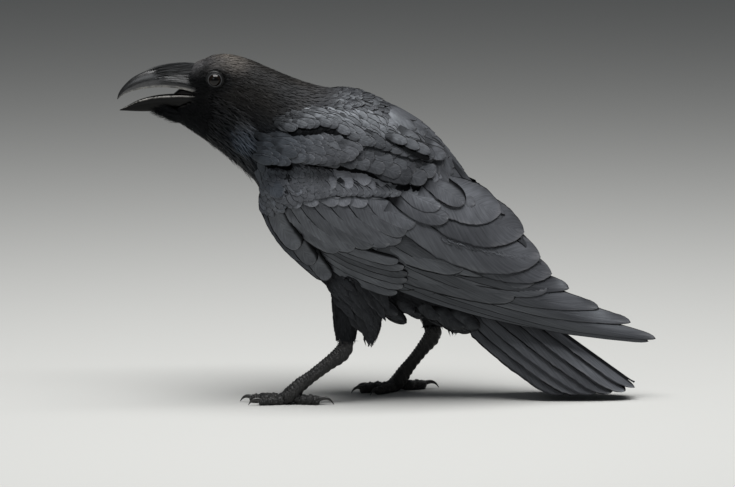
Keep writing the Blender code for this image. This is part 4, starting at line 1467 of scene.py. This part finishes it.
def bill_half(name, table, material):
    """The arched outside, a thin cutting edge and the hollow inside of the mouth."""
    rings, marks = [], []
    arch = np.linspace(-math.pi / 2, math.pi / 2, 37)
    inside = np.linspace(1, -1, 13)[1:-1]
    for at in np.linspace(0, len(table) - 1, 90):
        outer = bill_surface(table, np.full_like(arch, at), arch)
        row = smooth_between(table, at)
        up = PALATE_DEPTH * (1 - inside**2)
        x = row[2] + (row[0] - row[2]) * up
        z = row[3] + (row[1] - row[3]) * up
        inner = np.stack([x, row[4] * 0.90 * inside, z], axis=-1)
        rings.append(np.concatenate([outer, inner]))
        marks.append(np.concatenate([1 - np.cos(arch) / 0.25, np.full_like(inside, -1.0)]))
    made = lofted(name, rings, material, np.clip(marks, -1, 1))
    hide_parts(name.replace("horn_", "bill_"))


bill_half("horn_upper", UPPER_BILL, horn_material("upper_horn", HORN_BLACK, 0.85))
# The lower half is painted darker, as shade
bill_half("horn_lower", LOWER_BILL, horn_material("lower_horn_shaded", LOWER_HORN_SHADED, 0.12))

# ------------------------------------------------------------------ mouth
# Soft black skin lines the mouth behind the horn's cutting edges and closes it towards its corner.
# It is one closed tube, from the gape into the head.

# Each row: x, the floor's z, the roof's z and the half width
MOUTH = np.array(
    [
        (-0.2135, 0.3050, 0.3060, 0.0030),
        (-0.2100, 0.3050, 0.3090, 0.0066),
        (-0.2040, 0.3048, 0.3130, 0.0088),
        (-0.1960, 0.3042, 0.3120, 0.0096),
        (-0.1870, 0.3034, 0.3094, 0.0092),
    ]
)


def mouth_lining():
    turn = np.linspace(0, 2 * math.pi, 32, endpoint=False)
    rings = []
    for at in np.linspace(0, len(MOUTH) - 1, 24):
        x, low, high, half = smooth_between(MOUTH, at)
        middle, tall = (low + high) / 2, (high - low) / 2
        squared = np.abs(np.sin(turn)) ** 0.6 * np.sign(np.sin(turn))
        ring = np.stack([np.full_like(turn, x), half * squared, middle + tall * np.cos(turn)], axis=-1)
        rings.append(ring)
    lining, _, surface = new_material("mouth_lining")
    surface["Base Color"].default_value = (0.006, 0.005, 0.005, 1.0)
    surface["Roughness"].default_value = 0.35
    surface["Specular IOR Level"].default_value = 0.15
    lofted("mouth_lining", rings, lining)


mouth_lining()

# ------------------------------------------------------------------ bristles
# Stiff hair-like feathers that grow forward from the forehead over the nostrils and the bill's base,
# with short ones over the lores, on the cheeks and under the chin. They are rooted in the skin.
BRISTLE_DEPTH = 0.0058  # thickness of the pad they make over the forehead
BRISTLE_ROOT = 0.0045  # and on its sides, at their roots
bristle_black = horn_material("bristle_black", (0.032, 0.033, 0.034, 1.0), 0.22, 3.4)
lore_black = feather_material("lore_black", 10.0, -1.0, 0.05, 0.55, brightness=0.6, gloss=0.10)


def nasal_bristles(count, start, reach, lift):
    """Stiff hairs from the forehead that lie forward along the upper bill and hide the nostrils."""
    t = np.linspace(0, 1, 9)
    start = chance.uniform(*start, count)
    turn = chance.uniform(-1.34, 1.34, count)
    reach = chance.uniform(*reach, count) * (1 - 0.22 * np.abs(turn))
    at = start[:, None] - reach[:, None] * t
    fan = turn[:, None] * (1 + 0.10 * t) + chance.normal(0, 0.05, count)[:, None] * t
    fan = np.clip(fan, -1.40, 1.40)
    path = bill_surface(UPPER_BILL, at, fan)
    out = unit(path - smooth_between(UPPER_BILL, at)[..., [2, 4, 3]] * (1, 0, 1))
    side = unit(np.cross(out, np.gradient(path, axis=1)))
    depth = chance.uniform(0.15, 1.0, count)[:, None]
    swell = BRISTLE_DEPTH * np.clip((at - 4.8) / 4.4, 0, 1) ** 1.2 * np.maximum(np.cos(fan), 0.1)
    cheek = BRISTLE_ROOT * np.clip((at - 7.9) / 1.5, 0, 1) * np.abs(np.sin(fan))
    height = lift + 0.0008 * np.sin(math.pi * t) + depth * (0.0009 + swell + cheek)
    half = chance.uniform(0.00028, 0.00050, count)[:, None] * (1 - 0.75 * t**2)
    return along_normals(path, side, out, half, height, 0.0, 0.0)


def short_bristles(count, rib_from, rib_to, turn_from, turn_to, length, lift, forward):
    """Hairs that stand a little off the head, growing from the coat between two ribs and two turns."""
    t = np.linspace(0, 1, 6)
    at = chance.uniform(rib_from, rib_to, count)
    turn = chance.uniform(turn_from, turn_to, count) * chance.choice((-1, 1), count)
    root, back, _ = coat_frame(at, turn)
    grown = root[:, 0] > np.interp(root[:, 2], FEATHER_LINE_Z, FEATHER_LINE_X) + 0.001
    at, turn, back, count = at[grown], turn[grown], back[grown], grown.sum()
    reach = forward * length * chance.uniform(0.7, 1.3, count) / np.linalg.norm(back, axis=1)
    drift = chance.normal(0, 0.10, count)[:, None] * t
    path, _, out = coat_frame(at[:, None] + reach[:, None] * t, turn[:, None] + drift)
    side = unit(np.cross(out, np.gradient(path, axis=1)))
    height = lift * chance.uniform(0.5, 1.5, count)[:, None] * t - 0.0010 * (1 - t)
    half = chance.uniform(0.0003, 0.0005, count)[:, None] * (1 - 0.8 * t**2)
    return along_normals(path, side, out, half, height, 0.0, 0.0)


feather_mesh("nasal_bristles", nasal_bristles(1700, (7.6, 10.3), (1.9, 3.7), 0.0004), bristle_black)
feather_mesh("dark_bristles", nasal_bristles(420, (9.7, 10.4), (0.7, 1.5), 0.0009), lore_black)
lores = short_bristles(1500, 0.8, 3.2, 0.75, 1.75, 0.0065, 0.0006, -1)
feather_mesh("lore_bristles", lores, lore_black)
forehead = short_bristles(1300, 0.5, 2.2, 0.0, 0.8, 0.009, 0.0005, -1)
feather_mesh("forehead_bristles", forehead, head_coat)
cheek = short_bristles(700, 0.8, 3.2, 1.75, 2.4, 0.007, 0.0008, 1)
feather_mesh("cheek_bristles", cheek, lore_black)
chin = short_bristles(560, 0.2, 1.8, 2.3, math.pi, 0.014, 0.0045, -1)
feather_mesh("chin_bristles", chin, lore_black)

# ------------------------------------------------------------------ eyes
# A wet dark brown globe with a black pupil under a clear bulging cornea, in a ring of fine bare
# lids. The lids and the fold of the brow belong to the skin, so they are joined to it.
EYE_RADIUS = 0.0078
LID_OPENING = 0.0057
PUPIL_BLACK = (0.001, 0.001, 0.001, 1.0)
IRIS_DARK = (0.002, 0.0015, 0.0010, 1.0)
IRIS_BROWN = (0.010, 0.006, 0.004, 1.0)
EYE_RIM = (0.004, 0.003, 0.003, 1.0)
LID_BLACK = (0.006, 0.006, 0.006, 1.0)
LID_RIM = (0.065, 0.068, 0.072, 1.0)


def eye_material():
    """Rings of colour round the eye's axis. The mark is the share of the way from the pupil's centre."""
    made, tree, surface = new_material("eye_globe")
    mark = from_mesh(tree, "mark")
    iris = mixed(tree, noise(tree, position(tree), 1500.0, 2.0), IRIS_DARK, IRIS_BROWN)
    colour = mixed(tree, rising(tree, mark, 0.26, 0.31), PUPIL_BLACK, iris)
    colour = mixed(tree, rising(tree, mark, 0.52, 0.62), colour, EYE_RIM)
    plug(tree, surface["Base Color"], colour)
    surface["Roughness"].default_value = 0.12
    surface["Specular IOR Level"].default_value = 0.10
    surface["Coat Weight"].default_value = 0.35
    surface["Coat Roughness"].default_value = 0.02
    return made


def eyeball(name, side, material):
    """A globe whose front bulges a little, as the cornea does."""
    polar = np.linspace(0.02, math.pi - 0.02, 40)[:, None]
    turn = np.linspace(0, 2 * math.pi, 48, endpoint=False)[None]
    bulge = 1 + 0.05 * np.exp(-((polar / 0.55) ** 2))
    radius = EYE_RADIUS * bulge
    x = EYE_CENTRE[0] + radius * np.sin(polar) * np.cos(turn)
    y = side * (EYE_CENTRE[1] + radius * np.cos(polar) + 0 * turn)
    z = EYE_CENTRE[2] + side * radius * np.sin(polar) * np.sin(turn)
    rings = np.stack([x, y, z], axis=-1)
    made = lofted(f"globe_{name}", rings, material, np.repeat(polar / (math.pi / 2), turn.size, axis=1))
    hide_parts(f"eye_{name}")


def lid_rings(side):
    """A thin pale rim round the eye, with a beaded edge, then a fold that runs under the feathers.

    A row is how far out from the opening, how far out from the head, the beads' size and the paleness.
    """
    turn = np.linspace(0, 2 * math.pi, 72, endpoint=False)
    rows = (
        (-0.0006, 0.0040, 0.0, 0.0),
        (-0.0002, 0.0049, 0.05, 0.0),
        (0.0003, 0.0053, 0.10, 0.3),
        (0.0007, 0.0055, 0.10, 1.0),
        (0.0010, 0.0053, 0.06, 0.6),
        (0.0014, 0.0046, 0.02, 0.0),
        (0.0018, 0.0042, 0.06, 0.0),
        (0.0024, 0.0044, 0.04, 0.1),
        (0.0032, 0.0036, 0.0, 0.0),
        (0.0042, 0.0020, 0.0, 0.0),
        (0.0056, 0.0000, 0.0, 0.0),
    )
    rings, marks = [], []
    for beyond, out, bead, paleness in rows:
        radius = (LID_OPENING + beyond) * (1 + 0.05 * bead * np.cos(24 * turn))
        x = EYE_CENTRE[0] + radius * 1.03 * np.cos(turn)
        z = EYE_CENTRE[2] + radius * 0.98 * np.sin(turn)
        brow = 0.0007 * np.clip(np.sin(turn), 0, 1) * (beyond > 0.001)
        rings.append(np.stack([x, side * (EYE_CENTRE[1] + out + brow), z], axis=-1))
        marks.append(np.full_like(turn, paleness))
    return np.array(rings)[:, :: -side], np.array(marks)


def lid_material():
    """Black bare skin with a worn pale rim, which is where the mark is 1."""
    made, tree, surface = new_material("bare_lid")
    pores = node(tree, "TexVoronoi", {"Vector": position(tree), "Scale": 1800.0}).outputs["Distance"]
    colour = mixed(tree, from_mesh(tree, "mark"), LID_BLACK, LID_RIM)
    plug(tree, surface["Base Color"], shaded(tree, colour, scaled(tree, pores, 0.8, 0.6)))
    bumped(tree, surface, pores, 0.4, 0.0002)
    surface["Roughness"].default_value = 0.45
    surface["Specular IOR Level"].default_value = 0.25
    return made


def join_lids():
    """Adds the lids of both eyes to the skin's mesh."""
    pieces = [skin]
    bare = lid_material()
    for side in (-1, 1):
        rings, marks = lid_rings(side)
        count, sides, _ = rings.shape
        facing_out = np.roll(bands(count, sides)[:, ::-1], 1, axis=1)
        mesh = bpy.data.meshes.new("lids")
        mesh.from_pydata(rings.reshape(-1, 3).tolist(), [], facing_out.tolist())
        mesh.shade_smooth()
        mesh.materials.append(bare)
        values = marks.ravel().astype(np.float32)
        mesh.attributes.new("mark", "FLOAT", "POINT").data.foreach_set("value", values)
        layer = mesh.uv_layers.new(name="OFBake")
        place = bake_places([rings[-1].mean(axis=0)])[0]
        corner = np.array([loop.vertex_index for loop in mesh.loops])
        spot = np.stack([(corner % sides) / sides, corner // sides / count], axis=-1)
        layer.data.foreach_set("uv", (place + spot * BAKED_VANE).astype(np.float32).ravel())
        pieces.append(link(bpy.data.objects.new("lids", mesh)))
    bpy.ops.object.select_all(action="DESELECT")
    bpy.context.view_layer.objects.active = skin
    for piece in pieces:
        piece.select_set(True)
    bpy.ops.object.join()
    skin.select_set(False)


globe = eye_material()
eyeball("left", -1, globe)
eyeball("right", 1, globe)
join_lids()

# ------------------------------------------------------------------ legs
# Bare shanks and toes in black horny scales: broad plates down the front and over the toes, fine
# grains elsewhere, and soft pads under the toes. Each toe ends in a curved claw of solid horn.
LEGS = {
    "left": {
        "ankle": (-0.0415, -0.0400, 0.0540),
        "shank": (-0.0410, -0.0390, 0.0850),
        "foot": (-0.0935, -0.0400, 0.0140),
        "heading": math.radians(14.0),
        "turned": 1,
    },
    "right": {
        "ankle": (0.0480, 0.0310, 0.0600),
        "shank": (0.0430, 0.0300, 0.0850),
        "foot": (0.0140, 0.0440, 0.0140),
        "heading": math.radians(-24.0),
        "turned": -1,
    },
}
# Each toe: turn from the foot's heading, length, claw length, and thickness against the others
TOES = {
    "inner": (math.radians(-27.0), 0.034, 0.015, 0.95),
    "middle": (0.0, 0.043, 0.015, 1.0),
    "outer": (math.radians(25.0), 0.036, 0.014, 0.92),
    "hind": (math.radians(176.0), 0.026, 0.019, 1.05),
}
# Along a toe, with its pads and the joints between them: share of the length, height of the middle
# line and thickness, both against the toe's radius
TOE_JOINTS = (
    (0.0, 1.5, 1.0),
    (0.15, 1.2, 1.05),
    (0.28, 0.80, 0.90),
    (0.42, 0.90, 1.06),
    (0.54, 0.74, 0.86),
    (0.68, 0.88, 1.06),
    (0.80, 0.72, 0.84),
    (0.90, 0.80, 0.98),
    (1.03, 0.66, 0.62),
)
TOE_RADIUS = 0.0050
CLAW_RADIUS = 0.0026
PLATE_LENGTH = 0.0036  # along the shank
TOE_PLATE_LENGTH = 0.0026
GROUND = 0.0
LEG_BLACK = (0.009, 0.009, 0.009, 1.0)
LEG_DUST = (0.042, 0.040, 0.037, 1.0)
CLAW_BLACK = (0.008, 0.008, 0.008, 1.0)
CLAW_WORN = (0.034, 0.032, 0.030, 1.0)


def scaled_limb(path, tall, wide, plate, relief, count, sides=32):
    """Rings of a limb whose upper face is stepped in overlapping plates, and their marks."""
    stations = np.column_stack([np.array(path, float), tall, wide])
    rows = smooth_between(stations, np.linspace(0, len(stations) - 1, count))
    centres = rows[:, :3]
    runs = unit(np.gradient(centres, axis=0))
    walked = np.concatenate([[0], np.cumsum(np.linalg.norm(np.diff(centres, axis=0), axis=1))])
    turn = 2 * math.pi * (np.arange(sides) + 0.5) / sides
    rings, marks = [], []
    for row, run, distance in zip(rows, runs, walked):
        sideways = np.cross(run, (0.0, 0.0, 1.0))
        if np.linalg.norm(sideways) < 0.35:
            sideways = np.array([0.0, 1.0, 0.0])
        sideways = unit(sideways - run * sideways.dot(run))
        upward = np.cross(sideways, run)
        front = np.clip(np.cos(turn) * 1.6, 0, 1)
        saw = (distance / plate) % 1.0
        grains = 0.4 * relief * (1 - front) * np.sin(distance * 900 + turn * 5)
        grow = 1 + relief * front * (0.5 - saw) + grains
        up = row[3] * grow * np.cos(turn)
        out = row[4] * grow * np.sin(turn)
        ring = row[:3] + upward * up[:, None] + sideways * out[:, None]
        ring[:, 2] = np.maximum(ring[:, 2], GROUND)
        rings.append(ring)
        marks.append(front * (1 - saw))
    return rings, marks


def leg_material():
    """Black horny skin. The mark is the height on a plate, so that the seams between plates are dark."""
    made, tree, surface = new_material("leg_skin")
    where, mark = position(tree), from_mesh(tree, "mark")
    grains = node(tree, "TexVoronoi", {"Vector": where, "Scale": 620.0}, feature="DISTANCE_TO_EDGE")
    seams = rising(tree, grains.outputs["Distance"], 0.02, 0.22)
    dust = noise(tree, where, 170.0, 4.0)
    colour = mixed(tree, rising(tree, dust, 0.42, 0.72), LEG_BLACK, LEG_DUST)
    colour = shaded(tree, colour, scaled(tree, seams, 0.8, 0.2))
    colour = shaded(tree, colour, scaled(tree, mark, 1.0, 0.45))
    plug(tree, surface["Base Color"], colour)
    plug(tree, surface["Roughness"], scaled(tree, dust, 0.3, 0.32))
    bumped(tree, surface, seams, 0.8, 0.0005)
    return made


def claw_material():
    made, tree, surface = new_material("claw_horn")
    grain = noise(tree, position(tree), 420.0, 3.0)
    plug(tree, surface["Base Color"], mixed(tree, grain, CLAW_BLACK, CLAW_WORN))
    plug(tree, surface["Roughness"], scaled(tree, grain, 0.25, 0.18))
    return made


def level_way(heading):
    """The way along the ground at a heading, which is 0 straight ahead and grows to the right."""
    return np.array([-math.cos(heading), math.sin(heading), 0.0])


def tarsus(side, leg, material):
    ankle, foot, shank = (np.array(leg[key]) for key in ("ankle", "foot", "shank"))
    run = unit(ankle - shank)
    forward = level_way(leg["heading"])
    path = [
        ankle - run * 0.014,
        ankle - run * 0.0045,
        ankle * 0.90 + foot * 0.10,
        ankle * 0.66 + foot * 0.34,
        ankle * 0.35 + foot * 0.65,
        ankle * 0.12 + foot * 0.88,
        foot + forward * 0.004 + (0.0, 0.0, -0.0055),
        foot + forward * 0.013 + (0.0, 0.0, -0.0082),
    ]
    tall = [0.0064, 0.0078, 0.0082, 0.0068, 0.0063, 0.0072, 0.0078, 0.0044]
    wide = [0.0058, 0.0070, 0.0072, 0.0058, 0.0054, 0.0068, 0.0090, 0.0064]
    rings, marks = scaled_limb(path, tall, wide, PLATE_LENGTH, 0.15, 150)
    made = lofted(f"shank_{side}", rings, material, marks)
    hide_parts(f"tarsus_{side}")


def toe_and_claw(side, leg, which, skin_finish, claw_finish):
    turn, length, claw_length, fat = TOES[which]
    forward = level_way(leg["heading"] + leg["turned"] * turn)
    start = np.array([leg["foot"][0], leg["foot"][1], 0.0])
    radius = TOE_RADIUS * fat
    path = [start + forward * length * share + (0, 0, radius * lift) for share, lift, _ in TOE_JOINTS]
    thick = [radius * share for _, _, share in TOE_JOINTS]
    rings, marks = scaled_limb(path, thick, thick, TOE_PLATE_LENGTH, 0.20, 110)
    made = lofted(f"digit_{which}_{side}", rings, skin_finish, marks)
    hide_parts(f"toe_{which}_{side}")
    root = start + forward * (length - 0.0030) + (0, 0, radius * 0.80)
    share = np.linspace(0, 1, 30)
    out = claw_length * (1.24 * share * (1 - share) + 0.86 * share**2) + 0.0018 * share
    crest = 2 * share * (1 - share) * (root[2] + 0.34 * claw_length)
    height = root[2] * (1 - share) ** 2 + crest + 0.0006 * share**2
    centres = np.stack([root[0] + forward[0] * out, root[1] + forward[1] * out, height], axis=-1)
    run = unit(np.gradient(centres, axis=0))
    sideways = unit(np.cross(run, (0.0, 0.0, 1.0)))
    upward = np.cross(sideways, run)
    around = np.linspace(0, 2 * math.pi, 20, endpoint=False)
    thick = (CLAW_RADIUS * fat * (1 - 0.90 * share**1.3))[:, None]
    up = thick * np.cos(around) * np.where(np.cos(around) > 0, 1.10, 0.85)
    ring = centres[:, None] + upward[:, None] * up[..., None]
    ring = ring + sideways[:, None] * (thick * 0.74 * np.sin(around))[..., None]
    ring[..., 2] = np.maximum(ring[..., 2], GROUND)
    nail = lofted(f"nail_{which}_{side}", ring, claw_finish)
    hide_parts(f"claw_{which}_{side}")


leg_skin = leg_material()
claw_horn = claw_material()
for side, leg in LEGS.items():
    tarsus(side, leg, leg_skin)
    for which in TOES:
        toe_and_claw(side, leg, which, leg_skin, claw_horn)

# ------------------------------------------------------------------ thighs
# Loose black feathers clothe each thigh down to the ankle, with a tuft behind the shank and plumes
# that lap over it from the back of the thigh. They grow out of the skin and hang down.
# The thighs and their tufts are painted dark, as shade under the body
thigh_coat = feather_material(
    "thigh_coat", 20.0, 0.0, 0.05, 0.60, brightness=0.20, gloss=0.15, contrast=0.7
)
tuft_coat = feather_material(
    "tuft_coat", 26.0, 0.10, 0.25, 0.50, brightness=0.45, gloss=0.2, under=0.4, contrast=0.8
)


ROOT_DEPTH = 0.0016  # how deep under the thigh's outline the roots lie


def combed_feathers(name, nodes_under, spacing, length, width, flow, material, keep, lift):
    """Narrow feathers at even random places over solids, each laid along them the way flow points."""
    tree = tree_of(*(solids[node_name].data for node_name in nodes_under))
    corners = []
    for node_name in nodes_under:
        mesh = solids[node_name].data
        mesh.calc_loop_triangles()
        corners += [[mesh.vertices[v].co[:] for v in face.vertices] for face in mesh.loop_triangles]
    corners = np.array(corners)
    first, second = corners[:, 1] - corners[:, 0], corners[:, 2] - corners[:, 0]
    areas = np.linalg.norm(np.cross(first, second), axis=1) / 2
    count = int(areas.sum() / spacing**2)
    picked = chance.choice(len(corners), count, p=areas / areas.sum())
    u, v = chance.uniform(0, 1, (2, count))
    over = u + v > 1
    u, v = np.where(over, 1 - u, u), np.where(over, 1 - v, v)
    a, b, c = corners[picked].transpose(1, 0, 2)
    roots = a + (b - a) * u[:, None] + (c - a) * v[:, None]
    roots = roots[keep(roots)]
    rows = 6
    paths, normals = [], []
    for root in roots:
        reach = length(root) * chance.uniform(0.8, 1.2) / (rows - 1)
        place = Vector(root)
        out = tree.find_nearest(place)[1]
        wanted = Vector(flow(root)) + Vector(chance.normal(0, 0.10, 3))
        path, facing = [place.copy()], [out.copy()]
        for _ in range(rows - 1):
            way = (wanted - out * wanted.dot(out)).normalized()
            ahead = place + way * reach
            near, near_out, _, gap = tree.find_nearest(ahead)
            place, out = (near, near_out) if gap < reach * 0.7 else (ahead, out)
            path.append(place.copy())
            facing.append(out.copy())
        paths.append(path)
        normals.append(facing)
    path, normal = np.array(paths), unit(np.array(normals))
    t = np.linspace(0, 1, rows)
    side = unit(np.cross(normal, np.gradient(path, axis=1)))
    half = np.array([width(root) for root in roots])[:, None] / 2 * lance_outline(t)[None]
    lifted = lift * chance.uniform(0.2, 1.4, len(roots))
    height = -ROOT_DEPTH + (ROOT_DEPTH + lifted)[:, None] * t
    grid = along_normals(path, side, normal, half, height, 0.0, 0.05)
    feather_mesh(name, grid, material)


def on_shank(root):
    """How far down the thigh a place is: 0 at the body and 1 at the ankle."""
    return np.clip((0.125 - root[..., 2]) / 0.060, 0, 1)


combed_feathers(
    "thigh_feathers",
    ("thigh_left", "thigh_right"),
    0.0019,
    lambda root: 0.016 - 0.009 * on_shank(root),
    lambda root: 0.0035 - 0.0017 * on_shank(root),
    lambda root: (0.20, 0.0, -1.0),
    thigh_coat,
    lambda roots: (roots[:, 2] < 0.135) & (roots[:, 2] > 0.066),
    lift=0.0003,
)
combed_feathers(
    "thigh_tufts",
    ("thigh_tuft_left", "thigh_tuft_right"),
    0.0024,
    lambda root: 0.018,
    lambda root: 0.0030,
    lambda root: (0.40, 0.0, -1.0),
    tuft_coat,
    lambda roots: (roots[:, 2] < 0.150) & (roots[:, 2] > 0.074),
    lift=0.0012,
)


def thigh_plumes():
    """The loose feathers that lap from the back of each thigh over its tuft and hang to a point."""
    grids = []
    for side, behind in (("left", 0.0), ("right", 0.0895)):
        plumes = np.array(
            shingles(
                ((-0.060, 0.1300), (-0.040, 0.1330), (0.004, 0.1300)),
                ((-0.055, 0.1190), (-0.016, 0.0620), (-0.012, 0.0640), (0.004, 0.0940)),
                6,
                9,
                (0.0075, 0.0085),
                (-52, -58, -66),
                ((0.0002, 0.0014), (0.0010, 0.0024)),
                stretch=3.4,
            )
        )
        plumes[:, [0, 2]] += behind
        over = (f"thigh_{side}", f"thigh_tuft_{side}")
        span = (-0.090 + behind, 0.030 + behind)
        for view in ("near", "far"):
            relief = Relief(over, view, span, (0.050, 0.160), 3)
            grids.append(laid_vanes(plumes, relief, lance_outline, 10, 5, camber=0.0004, ragged=0.05))
    return np.concatenate(grids)


feather_mesh("thigh_plumes", thigh_plumes(), tuft_coat)

# ------------------------------------------------------------------ floor, light and camera
# A pale floor under one broad soft light overhead and a weaker one from the front, like a bright
# cloudy sky, and a long lens at the height of a person who crouches.
floor_finish, _, floor_surface = new_material("pale_floor")
floor_surface["Base Color"].default_value = (0.42, 0.42, 0.405, 1.0)
floor_surface["Roughness"].default_value = 0.85
bpy.ops.mesh.primitive_plane_add(size=14.0)
floor = bpy.context.object
floor.name = "floor"
floor.data.materials.append(floor_finish)

world = bpy.data.worlds.new("studio")
world.use_nodes = True
world.node_tree.nodes["Background"].inputs["Color"].default_value = (0.80, 0.86, 0.92, 1.0)
world.node_tree.nodes["Background"].inputs["Strength"].default_value = 0.10
bpy.context.scene.world = world


def softbox(name, place, size, power, colour):
    """A soft rectangular light that faces the bird."""
    light = bpy.data.lights.new(name, "AREA")
    light.shape = "RECTANGLE"
    light.size, light.size_y = size
    light.energy = power
    light.color = colour
    made = link(bpy.data.objects.new(name, light))
    made.location = place
    aim = Vector((0.0, 0.0, 0.18)) - Vector(place)
    made.rotation_euler = aim.to_track_quat("-Z", "Y").to_euler()


softbox("sky", (0.05, -0.30, 2.2), (2.0, 1.5), 100.0, (1.0, 1.0, 1.0))
softbox("window", (-1.1, -1.7, 1.3), (0.7, 0.7), 3.0, (0.94, 0.97, 1.0))

CAMERA_RISE = math.radians(8.0)
CAMERA_AWAY = 6.0
FRAME_WIDTH = 0.735  # width of the view at the bird
AIM = Vector((-0.0195, 0.0, 0.1560))
lens = bpy.data.cameras.new("camera")
lens.sensor_width = 36.0
lens.lens = lens.sensor_width * CAMERA_AWAY / FRAME_WIDTH
lens.clip_end = 30.0
camera = link(bpy.data.objects.new("camera", lens))
camera.location = AIM + CAMERA_AWAY * Vector((0.0, -math.cos(CAMERA_RISE), math.sin(CAMERA_RISE)))
camera.rotation_euler = (AIM - camera.location).to_track_quat("-Z", "Y").to_euler()
bpy.context.scene.camera = camera
bpy.context.scene.view_settings.view_transform = "Standard"
